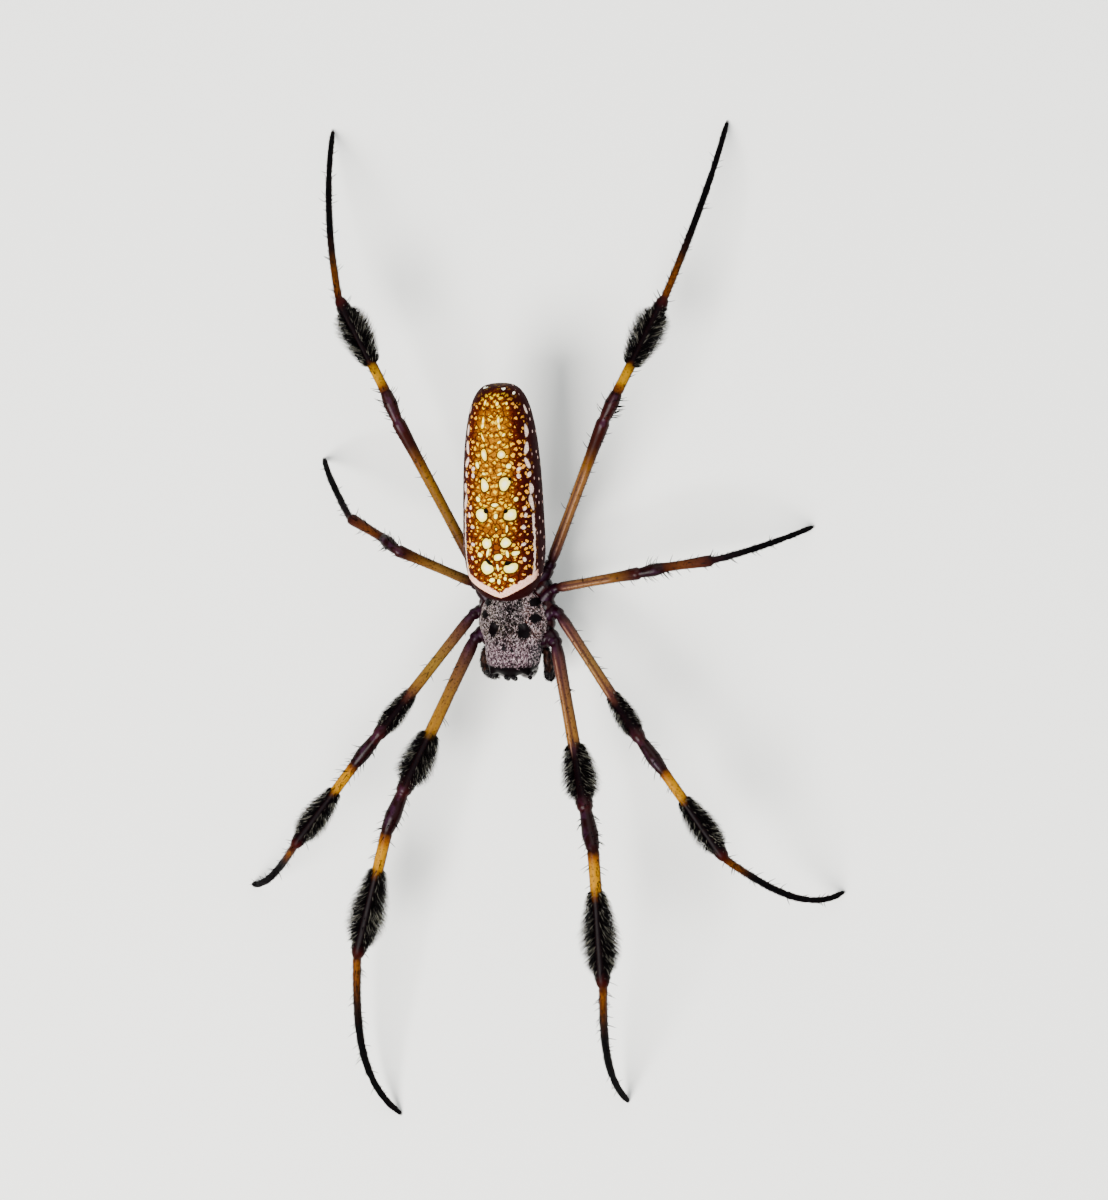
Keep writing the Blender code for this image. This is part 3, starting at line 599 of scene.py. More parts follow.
def abdomen_skin(rows=360, around=256):
    """Skin of the abdomen. Its pattern place is arc from the top and distance from the front, in millimetres.

    Each point also knows how far it is from the nearest cream spot, black spot and pale side mark, and its
    place in the fine net: angle * local width across, and the length of the profile from the front along.
    """
    along = -np.cos(np.linspace(0.012, math.pi - 0.012, rows))[:, None]
    angle = np.linspace(-math.pi, math.pi, around + 1)[None, :]
    surface, t, width = abdomen_surface(along, angle)
    profile = distance_along(np.concatenate((t, width), 1))
    s, t = np.broadcast_arrays(angle * ARC_RADIUS, t)
    lay = np.stack((s, t), -1)
    ends = [abdomen_surface(np.array(end), np.array(0.0))[0] for end in (-1.0, 1.0)]
    s, t = s[:, :-1], t[:, :-1]
    waver = 0.06 * np.sin(3.1 * t + 1.7 * s)
    spot_s, side_s = s + waver, np.abs(s - PATTERN_MIDDLE) + waver
    spot_t = t + 0.06 * np.sin(3.7 * s - 2.3 * t)
    marks = {
        "Cream": spot_nearness(spot_s, spot_t, CREAM_SPOTS),
        "Black": spot_nearness(spot_s, spot_t, BLACK_SPOTS),
        "Pale": spot_nearness(side_s, spot_t, SIDE_MARKS),
        "Across": s / ARC_RADIUS * width,
        "Along": np.broadcast_to(profile[:, None], s.shape),
    }
    return ring_skin("abdomen_skin", surface[:, :-1], *ends, lay, marks)


# Bumps that carry the eyes, as (place, reach, width), then the grooves and the dent, all in millimetres.
# A groove deepens from nothing to its full depth between the two values of each of its ends.
EYE_BUMPS = (
    ((0.0, -7.45, 7.75), 0.42, (0.75, 0.7, 0.6)),
    ((1.95, -7.2, 7.95), 0.5, (0.42, 0.5, 0.45)),
    ((-1.95, -7.2, 7.95), 0.5, (0.42, 0.5, 0.45)),
)
EYE_BUMP_WAY = np.array((0.25, -0.85, 0.45))     # for a bump on the left
GROOVE_SLOPE = 0.62
GROOVES_MEET_Y = -0.9
GROOVE_REAR_Y = (-1.0, -2.4)
GROOVE_FRONT_Y = (-5.4, -4.0)
GROOVE_WIDTH = 0.28
GROOVE_DEPTH = 0.16
DENT_PLACE = (0.0, -0.8)
DENT_SIZE = (0.75, 0.3)
DENT_DEPTH = 0.3
# Bare spots on the carapace, as (x, y, half width, half length) and, where it has one, a turn in degrees.
BARE_SPOTS = (
    (-2.5, -0.25, 0.42, 0.46), (-2.68, -1.55, 0.36, 0.5), (-1.73, -2.9, 0.46, 0.78),
    (1.5, -2.95, 0.68, 0.84, 18), (2.42, -0.15, 0.54, 0.44), (2.6, -1.75, 0.6, 0.48),
    (-1.08, -4.15, 0.16, 0.22), (-0.35, -4.55, 0.15, 0.42, 5), (0.49, -4.85, 0.14, 0.26),
    (-0.2, -3.7, 0.1, 0.3), (-0.38, -2.65, 0.13, 0.2), (0.22, -3.1, 0.15, 0.16),
)


def carapace_surface(along, angle):
    """The pear of the solids, with grooves that run from the dent in its middle, and the eye bumps.

    Grooves, dent and bumps are bells: each is depth * exp(-(distance / width) ** 2).
    """
    radial = np.sqrt(np.maximum(1.0 - along**2, 0.0))
    bluntness = np.where(along < 0.0, HEAD_BLUNTNESS, REAR_BLUNTNESS)
    middle = 0.5 * (HEAD_FRONT_Y + CARAPACE_REAR_Y)
    half = 0.5 * (CARAPACE_REAR_Y - HEAD_FRONT_Y)
    y = middle + half * power(along, 2.0 / bluntness)
    round_off = radial ** (2.0 / bluntness)
    thorax = smooth_step(y, *NECK_Y)
    width = (HEAD_HALF_WIDTH + (THORAX_HALF_WIDTH - HEAD_HALF_WIDTH) * thorax) * round_off
    top = (HEAD_TOP + (THORAX_TOP - HEAD_TOP) * thorax) * round_off
    across, up = np.sin(angle), np.cos(angle)
    x = width * power(across, 2.0 / CARAPACE_SQUARENESS)
    depth = np.where(up > 0.0, top, STERNUM_DROP * round_off)
    z = CARAPACE_MARGIN_Z + depth * power(up, 2.0 / CARAPACE_SQUARENESS)
    x, y, z = np.broadcast_arrays(x, y, z)
    groove = np.exp(-((np.abs(x) + GROOVE_SLOPE * (y - GROOVES_MEET_Y)) / GROOVE_WIDTH) ** 2)
    groove = groove * smooth_step(y, *GROOVE_REAR_Y) * smooth_step(y, *GROOVE_FRONT_Y)
    dent = np.exp(-((x - DENT_PLACE[0]) / DENT_SIZE[0]) ** 2 - ((y - DENT_PLACE[1]) / DENT_SIZE[1]) ** 2)
    z = z - smooth_step(up, 0.1, 0.6) * (GROOVE_DEPTH * groove + DENT_DEPTH * dent)
    points = np.stack((x, y, z), -1)
    for place, reach, size in EYE_BUMPS:
        away = (points - place) / size
        lift = reach * np.exp(-np.einsum("...k,...k->...", away, away))
        points = points + lift[..., None] * EYE_BUMP_WAY * (np.sign(place[0]), 1.0, 1.0)
    return points


def carapace_skin(rows=200, around=168):
    """Skin of carapace and sternum. Its pattern place is the plan, x and y in millimetres."""
    along = -np.cos(np.linspace(0.01, math.pi - 0.01, rows))[:, None]
    angle = np.linspace(-math.pi, math.pi, around + 1)[None, :]
    surface = carapace_surface(along, angle)
    ends = [carapace_surface(np.array(end), np.array(0.0)) for end in (-1.0, 1.0)]
    near = spot_nearness(surface[:, :-1, 0], surface[:, :-1, 1], BARE_SPOTS)
    return ring_skin("carapace_skin", surface[:, :-1], *ends, surface[..., :2], {"Bare": near})


PILE_FRONT_Y = -6.55
PILE_REAR_Y = 1.25
PILE_LOWEST_Z = 6.2
PILE_WIDEST_ANGLE = 1.62
PILE_LENGTHS = (0.13, 0.3)
PILE_THICKNESS = 0.034
PILE_ROOT_DEPTH = 0.03
PILE_FLATNESS = 1.6


def carapace_ground(along, angle):
    """Places on the carapace, with the directions to the front, sideways and out of the shell."""
    step = 0.002
    places = carapace_surface(along, angle)
    front = unit(carapace_surface(along - step, angle) - places)
    sideways = unit(carapace_surface(along, angle + step) - places)
    out = unit(np.cross(front, sideways))
    flip = np.sign(out[:, 2:3] + 0.3 * np.sign(places[:, 2:3] - CARAPACE_MARGIN_Z))
    return places, front, sideways, out * flip


def carapace_pile(many=16000):
    """Silver hair that lies on the carapace. It leaves the spots, the dent and the front band bare."""
    chance = np.random.default_rng(SEED + 40)
    along = chance.uniform(-0.999, 0.995, many)
    along = power(along, 0.5 * np.where(along < 0.0, HEAD_BLUNTNESS, REAR_BLUNTNESS))
    angle = chance.uniform(-PILE_WIDEST_ANGLE, PILE_WIDEST_ANGLE, many)
    roots, front, sideways, out = carapace_ground(along, angle)
    x, y, z = roots.T
    turn = chance.normal(0.0, 0.75, many) + 0.4 * np.sign(x)
    lie = unit(-front * np.cos(turn)[:, None] - sideways * np.sin(turn)[:, None])
    length = chance.uniform(*PILE_LENGTHS, many)
    tip = roots + lie * (0.85 * length)[:, None]
    bare = np.minimum(spot_nearness(x, y, BARE_SPOTS), spot_nearness(tip[:, 0], tip[:, 1], BARE_SPOTS))
    dent = np.hypot((x - DENT_PLACE[0]) / 0.8, (y - DENT_PLACE[1]) / 0.32)
    keep = bare > chance.uniform(0.75, 1.05, many)
    keep &= (y > PILE_FRONT_Y + chance.normal(0.0, 0.12, many)) & (y < PILE_REAR_Y)
    keep &= (dent > chance.uniform(0.3, 1.3, many)) & (z > PILE_LOWEST_Z)
    kept = (values[keep] for values in (roots, lie, out, length, along, angle))
    roots, lie, out, length, along, angle = kept
    count = len(roots)
    root_lean = chance.uniform(0.35, 0.8, count)
    tip_lean = chance.uniform(-0.15, 0.25, count)
    sway = chance.normal(0.0, 0.25, count)
    thickness = PILE_THICKNESS * chance.uniform(0.7, 1.3, count)
    glint = chance.uniform(0.0, 1.0, count)
    places = np.stack((0.5 + 0.45 * angle / PILE_WIDEST_ANGLE, 0.5 + 0.45 * along), -1)
    hairs = Hairs(roots - out * PILE_ROOT_DEPTH, lie, out, length, thickness, root_lean, tip_lean, sway,
                  glint, places)
    return hair_mesh("carapace_pile", hairs, PILE_FLATNESS)


# Shader arithmetic

class Flow:
    """A number or vector inside a material. Arithmetic on it adds Math nodes."""

    def __init__(self, tree, socket):
        self.tree = tree
        self.socket = socket

    def math(self, operation, *values):
        return node(self.tree, "ShaderNodeMath", {"operation": operation}, values)

    def __add__(self, other):
        return self.math("ADD", self, other)

    def __sub__(self, other):
        return self.math("SUBTRACT", self, other)

    def __rsub__(self, other):
        return self.math("SUBTRACT", other, self)

    def __mul__(self, other):
        return self.math("MULTIPLY", self, other)

    def __truediv__(self, other):
        return self.math("DIVIDE", self, other)

    def __abs__(self):
        return self.math("ABSOLUTE", self)

    __radd__ = __add__
    __rmul__ = __mul__

    def low(self, other):
        """The smaller of two values."""
        return self.math("MINIMUM", self, other)

    def high(self, other):
        """The larger of two values."""
        return self.math("MAXIMUM", self, other)

    def step(self, low, high, start=0.0, end=1.0):
        """Moves smoothly from start to end while the value goes from low to high."""
        inputs = {"Value": self, "From Min": low, "From Max": high, "To Min": start, "To Max": end}
        return node(self.tree, "ShaderNodeMapRange", {"interpolation_type": "SMOOTHSTEP"}, inputs)


def node(tree, kind, settings=None, inputs=(), output=0):
    """Adds a node: its type, its settings, then values or links for its sockets. Gives one of its outputs."""
    made = tree.nodes.new(kind)
    settings = dict(settings or {})
    stops = settings.pop("stops", None)
    for key, value in settings.items():
        setattr(made, key, value)
    if stops:
        ramp = made.color_ramp
        while len(ramp.elements) < len(stops):
            ramp.elements.new(0.5)
        for element, (place, colour) in zip(ramp.elements, stops):
            element.position = place
            element.color = (*colour, 1.0)
    for key, value in (inputs.items() if isinstance(inputs, dict) else enumerate(inputs)):
        if isinstance(value, Flow):
            tree.links.new(value.socket, made.inputs[key])
        elif value is not None:
            made.inputs[key].default_value = (*value, 1.0) if isinstance(value, Colour) else value
    return Flow(tree, made.outputs[output])


class Colour(tuple):
    """A colour in linear light, given as it looks on a screen from 0 to 255."""

    def __new__(cls, *screen):
        return super().__new__(cls, [(s / 255.0 / 12.92) if s < 10.3 else ((s / 255.0 + 0.055) / 1.055) ** 2.4
                                     for s in screen])


def blend_colour(factor, first, second):
    """From the first colour to the second as factor goes from 0 to 1."""
    tree = factor.tree
    return node(tree, "ShaderNodeMix", {"data_type": "RGBA"}, {0: factor, 6: first, 7: second}, output=2)


def noise(place, scale, detail=3.0, roughness=0.55):
    """Soft noise from 0 to 1, scale in steps for each unit of place."""
    return node(place.tree, "ShaderNodeTexNoise", {},
                {"Vector": place, "Scale": scale, "Detail": detail, "Roughness": roughness})


def cells(place, scale, feature="F1", output="Distance", randomness=1.0, flat=False):
    """Cell pattern: the distance to the nearest cell's middle or edge, or the cell's own colour.

    flat is for a pattern on a flat map and not in space.
    """
    settings = {"feature": feature, "voronoi_dimensions": "2D" if flat else "3D"}
    made = node(place.tree, "ShaderNodeTexVoronoi", settings,
                {"Vector": place, "Scale": scale, "Randomness": randomness})
    return Flow(place.tree, made.socket.node.outputs[output])


def stretch(place, scale, turn=0.0):
    """A pattern place scaled, then turned in its plane."""
    return node(place.tree, "ShaderNodeMapping", {},
                {"Vector": place, "Rotation": (0.0, 0.0, turn), "Scale": scale})


def split(place, axis):
    """One coordinate of a place."""
    return node(place.tree, "ShaderNodeSeparateXYZ", {}, (place,), output=axis)


def joined(x, y, z=0.0):
    """A place from its coordinates."""
    return node(x.tree, "ShaderNodeCombineXYZ", {}, (x, y, z))


def mark(tree, name):
    """The number that each point of a piece carries under this name."""
    return node(tree, "ShaderNodeAttribute", {"attribute_name": name}, output=2)


def start_material(name, constants):
    """A material with one Principled shader whose constants are set on its own sockets."""
    material = bpy.data.materials.new(name)
    material.use_nodes = True
    tree = material.node_tree
    shader = tree.nodes["Principled BSDF"]
    for socket, value in constants.items():
        shader.inputs[socket].default_value = value
    return material, tree, shader


def finish_material(tree, shader, colour, roughness=None, relief=None, strength=0.4, distance=0.00005):
    """Links what varies: the colour, and where they are given the roughness and a relief as a bump."""
    tree.links.new(colour.socket, shader.inputs["Base Color"])
    if roughness is not None:
        tree.links.new(roughness.socket, shader.inputs["Roughness"])
    if relief is not None:
        sockets = {"Height": relief, "Strength": strength, "Distance": distance}
        bump = node(tree, "ShaderNodeBump", {}, sockets)
        tree.links.new(bump.socket, shader.inputs["Normal"])


def object_place(tree):
    """Object coordinates, turned into millimetres in the spider's own frame."""
    place = node(tree, "ShaderNodeTexCoord", {}, output=3)
    scale, offset = (1.0 / MM,) * 3, tuple(-SHIFT / MM)
    return node(tree, "ShaderNodeVectorMath", {"operation": "MULTIPLY_ADD"}, (place, scale, offset))


def lay_place(tree):
    """The piece's own pattern map."""
    return node(tree, "ShaderNodeUVMap", {"uv_map": "Lay"})


# Markings of the abdomen, as (arc s, distance t, half width, half length) and a turn where it has one.
CREAM_SPOTS = (
    (-3.2, 21.45, 0.8, 0.07), (1.95, 21.42, 0.55, 0.09), (3.8, 20.95, 0.36, 0.12),
    (-1.33, 20.1, 0.17, 0.28), (0.6, 20.05, 0.3, 0.17, 30), (1.98, 20.0, 0.17, 0.16),
    (-1.29, 18.4, 0.17, 0.5, 2), (-1.26, 17.85, 0.2, 0.3),
    (0.78, 18.4, 0.17, 0.45, 3), (0.82, 17.85, 0.2, 0.28),
    (1.26, 17.05, 0.24, 0.18, 30), (0.84, 16.35, 0.26, 0.16, 10), (-1.15, 16.8, 0.14, 0.5, 28),
    (-0.91, 15.1, 0.33, 0.52, 15), (0.95, 15.15, 0.44, 0.33, 28),
    (-1.75, 14.0, 0.2, 0.34, 30), (1.75, 13.95, 0.29, 0.23, 20),
    (-0.9, 13.2, 0.26, 0.12, -25), (0.7, 13.2, 0.28, 0.13, 15),
    (-0.91, 12.1, 0.4, 0.6, 14), (1.26, 12.25, 0.52, 0.68, -14),
    (-1.71, 10.7, 0.28, 0.24), (2.3, 10.7, 0.28, 0.25), (0.21, 10.2, 0.42, 0.2),
    (-1.26, 9.1, 0.68, 0.6), (1.68, 9.15, 0.7, 0.54, 25),
    (0.24, 9.0, 0.19, 0.26), (0.24, 8.0, 0.22, 0.2), (-0.28, 7.48, 0.2, 0.18), (0.56, 7.48, 0.17, 0.2),
    (0.21, 6.82, 0.2, 0.2), (1.36, 7.8, 0.12, 0.32),
    (-0.77, 6.35, 0.52, 0.5), (1.19, 6.48, 0.5, 0.52),
    (-0.66, 5.35, 0.12, 0.5, -5), (1.26, 5.25, 0.17, 0.35),
    (-1.5, 5.18, 0.3, 0.23), (2.15, 5.35, 0.42, 0.24, 8), (0.35, 5.0, 0.38, 0.36),
    (-0.87, 3.86, 0.66, 0.6), (1.61, 3.82, 0.68, 0.52, 8), (0.28, 3.88, 0.12, 0.42),
    (-0.42, 2.55, 0.36, 0.2, 20), (0.35, 2.5, 0.17, 0.3),
    (0.95, 2.75, 0.14, 0.25, 20), (1.6, 2.6, 0.3, 0.15),
)
BLACK_SPOTS = (
    (-1.34, 12.72, 0.2, 0.16), (1.72, 12.75, 0.19, 0.17),
    (-0.76, 9.58, 0.27, 0.24), (1.3, 9.6, 0.32, 0.2, 25),
    (-0.6, 4.46, 0.38, 0.22, -25), (1.3, 4.4, 0.34, 0.22, 15),
)
# Pale marks along both sides, as distances from the pattern's middle line.
SIDE_MARKS = (
    (4.7, 19.3, 0.26, 0.42, 10), (4.05, 17.3, 0.3, 0.58),
    (3.75, 15.6, 0.3, 0.62, -20), (3.75, 14.1, 0.28, 0.56, 28),
    (3.85, 12.95, 0.26, 0.27), (4.0, 11.6, 0.33, 0.5),
    (3.95, 10.2, 0.27, 0.76, 12), (4.05, 8.85, 0.2, 0.22),
    (2.6, 13.6, 0.23, 0.21), (2.55, 12.9, 0.23, 0.21), (3.0, 9.7, 0.2, 0.2), (3.15, 8.95, 0.22, 0.23),
    (2.75, 7.85, 0.3, 0.23), (2.4, 6.75, 0.2, 0.16), (2.7, 6.15, 0.3, 0.17), (2.85, 4.65, 0.2, 0.2),
)
PATTERN_MIDDLE = 0.22
NET_TURN = math.radians(-30.0)


def abdomen_ground(tree, lay, t, aside, wobble):
    """Gold in the middle, maroon at the sides and tail, with a dark net round small yellow dashes.

    The net is the same on both sides of the middle line, and its cells are drawn out towards the tail.
    """
    middle = t.step(5.5, 10.0) * (1.0 - t.step(17.5, 21.0))
    edge = aside + (noise(lay, 0.8, 2.0) - 0.5) * 0.9 + mark(tree, "Across") * 0.15
    tail = (t + (wobble - 0.5) * 1.2 + aside * 0.4).step(20.6, 21.9)
    ground = blend_colour(middle, Colour(100, 44, 0), Colour(138, 84, 0))
    ground = blend_colour(edge.step(1.2, 2.7), ground, Colour(74, 18, 0))
    ground = blend_colour(edge.step(2.5, 3.8), ground, Colour(40, 4, 4))
    ground = blend_colour(tail, ground, Colour(36, 3, 4))
    across = abs(mark(tree, "Across") - PATTERN_MIDDLE) + (noise(lay, 1.6, 1.0) - 0.5) * 0.6
    along = mark(tree, "Along") + (noise(lay, 2.6, 1.0) - 0.5) * 0.5
    net = stretch(joined(across, along), (1.45, 2.0, 1.0), NET_TURN)
    inside = cells(net, 1.0, "DISTANCE_TO_EDGE", randomness=0.8, flat=True)
    lines = 1.0 - inside.step(0.02, 0.16)
    line_colour = blend_colour(middle * (1.0 - edge.step(1.0, 2.6)), Colour(36, 4, 0), Colour(60, 20, 0))
    ground = blend_colour(lines * 0.95, ground, line_colour)
    size = split(cells(net, 1.0, output="Color", randomness=0.8, flat=True), 0) * 0.36 + 0.04
    dot = (size - cells(net, 1.0, randomness=0.8, flat=True)).low(inside - 0.13).step(-0.03, 0.05)
    fade = (1.0 - aside.step(3.4, 4.3) * 0.9) * (1.0 - tail * 0.9)
    dot_colour = blend_colour(edge.step(1.4, 3.0), Colour(222, 182, 0), Colour(216, 146, 40))
    return blend_colour(dot * fade, ground, dot_colour)


def abdomen_spots(tree, ground, t, wobble):
    """Cream spots with a paler middle and a dark rim, yellow towards the tail, and black marks near them."""
    cream = mark(tree, "Cream") + (wobble - 0.5) * 0.3
    fill = blend_colour(t.step(12.5, 17.0), Colour(255, 238, 110), Colour(236, 190, 0))
    pale = t.step(20.4, 20.8).high((1.0 - cream.step(0.2, 0.75)) * 0.8)
    fill = blend_colour(pale, fill, Colour(255, 255, 232))
    ground = blend_colour(1.0 - cream.step(1.1, 1.5), ground, Colour(52, 26, 0))
    ground = blend_colour(1.0 - cream.step(0.9, 1.06), ground, fill)
    return blend_colour(1.0 - mark(tree, "Black").step(0.85, 1.2), ground, Colour(5, 3, 2))


def abdomen_sides(lay, ground, t, aside, wobble):
    """Pale marks and a streak on each side, the dark flank with small white dots, and the blotched belly."""
    frayed = noise(lay, 3.0, 4.0, 0.7)
    streak = abs(aside + (wobble - 0.5) * 0.5 - 4.1) / (frayed * 0.36 - 0.04)
    streak = streak.high((t - 8.3) * 0.8 + 0.6).high((2.0 - t) * 2.0)
    pale = 1.0 - (mark(lay.tree, "Pale") + (wobble - 0.5) * 0.3).low(streak).step(0.8, 1.2)
    net = joined(mark(lay.tree, "Across"), mark(lay.tree, "Along"))
    dash = cells(stretch(net, (1.15, 0.7, 1.0)), 1.0, randomness=0.7, flat=True)
    flank = blend_colour(1.0 - dash.step(0.08, 0.13), Colour(30, 1, 3), Colour(206, 170, 160))
    belly = aside.step(7.2, 8.2)
    blot = cells(stretch(net, (0.9, 0.5, 1.0)), 1.0, flat=True).step(0.2, 0.3).high(aside.step(11.0, 11.8))
    flank = blend_colour(belly, flank, Colour(40, 20, 8))
    flank = blend_colour(belly * (1.0 - blot) * 0.8, flank, Colour(150, 112, 30))
    ground = blend_colour(aside.step(4.35, 4.75), ground, flank)
    grain = noise(lay, 7.0, 2.0, 0.7).step(0.4, 0.62)
    chalk = blend_colour(grain, Colour(190, 150, 134), Colour(242, 226, 212))
    return blend_colour(pale * (1.0 - aside.step(5.0, 5.4)), ground, chalk)


def abdomen_band(lay, ground, t, aside):
    """The pale band round the front, with a dark notch in its middle and a dark rim before it."""
    middle = aside * 0.42 + 0.88
    half = aside.step(0.0, 1.2) * 0.16 + 0.32
    ragged = (noise(lay, 2.4, 4.0, 0.75) - 0.5) * (aside * 0.5 + 0.6 - t).step(0.1, -0.5, 0.25, 1.1)
    away = abs(t + ragged - middle) / half
    notch = (aside * 2.2 + 1.35 - t).step(-0.08, 0.1)
    band = (1.0 - away.step(0.85, 1.1)) * (1.0 - aside.step(4.4, 5.0))
    band = band * notch.high((0.75 - t).step(0.0, 0.1))
    grain = noise(lay, 5.0, 3.0, 0.7).step(0.3, 0.7)
    colour = blend_colour(grain, Colour(255, 216, 190), Colour(226, 150, 124))
    rim = (middle - half - t).step(-0.05, 0.05) * (1.0 - aside.step(5.0, 6.0))
    return blend_colour(rim, blend_colour(band, ground, colour), Colour(28, 1, 1))


def abdomen_material():
    """Gold skin with a red-brown net, cream spots, pale side marks and a pale band in front.

    s is the arc from the top, t the distance from the front and aside the arc from the pattern's middle line.
    """
    material, tree, shader = start_material("abdomen_paint", {"Specular IOR Level": 0.02})
    lay = lay_place(tree)
    s, t = split(lay, 0), split(lay, 1)
    aside = abs(s - PATTERN_MIDDLE)
    wobble = noise(lay, 1.6, 2.0)
    ground = abdomen_ground(tree, lay, t, aside, wobble)
    ground = abdomen_spots(tree, ground, t, wobble)
    ground = abdomen_sides(lay, ground, t, aside, wobble)
    ground = abdomen_band(lay, ground, t, aside)
    place = object_place(tree)
    rough = noise(place, 3.0, 3.0) * 0.2 + 0.5
    rim = (mark(tree, "Cream") - 1.0).step(-0.3, 0.2)
    relief = noise(place, 5.0, 4.0) * 0.5 + cells(place, 9.0) * 0.25 + rim * 0.3
    finish_material(tree, shader, ground, rough, relief, distance=0.00007)
    return material


def pile_colour(tree):
    """Colour of the silver pile by place: beige on the right, pink on the left and lavender on the head,
    partly painted sheen, with painted shade and a painted bluish sheen on the sides of the head.
    """
    place = object_place(tree)
    x, y = split(place, 0), split(place, 1)
    patch = noise(place, 0.5, 2.0)
    # Pink on her left: partly the pile's own tone, partly painted sheen.
    left = (x + (patch - 0.5) * 4.0).step(-1.2, 2.4)
    body = blend_colour(left, Colour(122, 100, 66), Colour(164, 100, 88))
    body = blend_colour(noise(place, 1.4, 2.0).step(0.4, 0.6) * 0.7, body, Colour(40, 30, 28))
    rear = (1.0 - abs(x).step(0.9, 2.0)) * (patch * 1.6 - 0.8 + y).step(-3.4, -0.6)
    body = blend_colour(rear * 0.85, body, Colour(26, 20, 16))
    # Lavender on the head: partly the pile's own tone, partly painted sheen.
    head = (patch * 3.0 - 1.5 - y).step(3.0, 5.4)
    body = blend_colour(head * 0.85, body, Colour(178, 124, 152))
    # Painted shade with a painted bluish sheen on the sides of the head.
    cheek_shade_and_sheen = abs(x).step(1.95, 2.45) * (y * -1.0).step(4.0, 4.8)
    return blend_colour(cheek_shade_and_sheen * 0.9, body, Colour(34, 36, 62))


def speckled(tree, colour):
    """Lays the pile's dark grain and its light grain, pale hairs with a painted glint, over a colour."""
    grain = noise(stretch(object_place(tree), (7.0, 3.6, 3.6)), 1.0, 3.0, 0.7)
    colour = blend_colour((1.0 - grain.step(0.43, 0.49)) * 0.95, colour, Colour(6, 1, 4))
    # Light grain: the pale hairs' own colour brightened into a painted glint.
    return blend_colour(grain.step(0.525, 0.58) * 0.8, colour, Colour(255, 228, 232))


def carapace_material():
    """Black shell, bare and glossy below, at the spots and at the front, with grey down elsewhere, darkened
    towards black: the shell between the hairs and painted shade under the pile.
    """
    material, tree, shader = start_material("carapace_shell", {"Specular IOR Level": 0.03})
    y = split(lay_place(tree), 1)
    place = object_place(tree)
    bare = 1.0 - mark(tree, "Bare").step(0.9, 1.1)
    bare = bare.high((PILE_FRONT_Y - y).step(-0.15, 0.15))
    bare = bare.high(1.0 - split(place, 2).step(6.0, 6.5))
    down = speckled(tree, pile_colour(tree))
    # Darkens the down: partly the black shell between the hairs, partly painted shade under the pile.
    down = blend_colour(noise(place, 9.0, 3.0).step(0.4, 0.8) * 0.3, Colour(4, 2, 3), down)
    shell = blend_colour(noise(place, 1.2, 2.0), Colour(1, 1, 1), Colour(8, 3, 5))
    colour = blend_colour(bare, down, shell)
    rough = 0.72 - bare * 0.42
    finish_material(tree, shader, colour, rough, noise(place, 12.0, 3.0), strength=0.3)
    return material


def pile_material():
    """Silver hair with small shifts of colour from hair to hair: a painted glint on many hairs, and some dark
    hairs.
    """
    constants = {"Roughness": 0.45, "Specular IOR Level": 0.12}
    material, tree, shader = start_material("silver_pile", constants)
    glint = mark(tree, "Glint")
    # Painted glint: hairs brighten by their Glint mark.
    colour = blend_colour(glint.step(0.35, 1.0) * 0.75, pile_colour(tree), Colour(236, 228, 224))
    colour = blend_colour((0.46 - glint).step(0.0, 0.25) * 0.9, colour, Colour(10, 6, 8))
    finish_material(tree, shader, speckled(tree, colour))
    return material


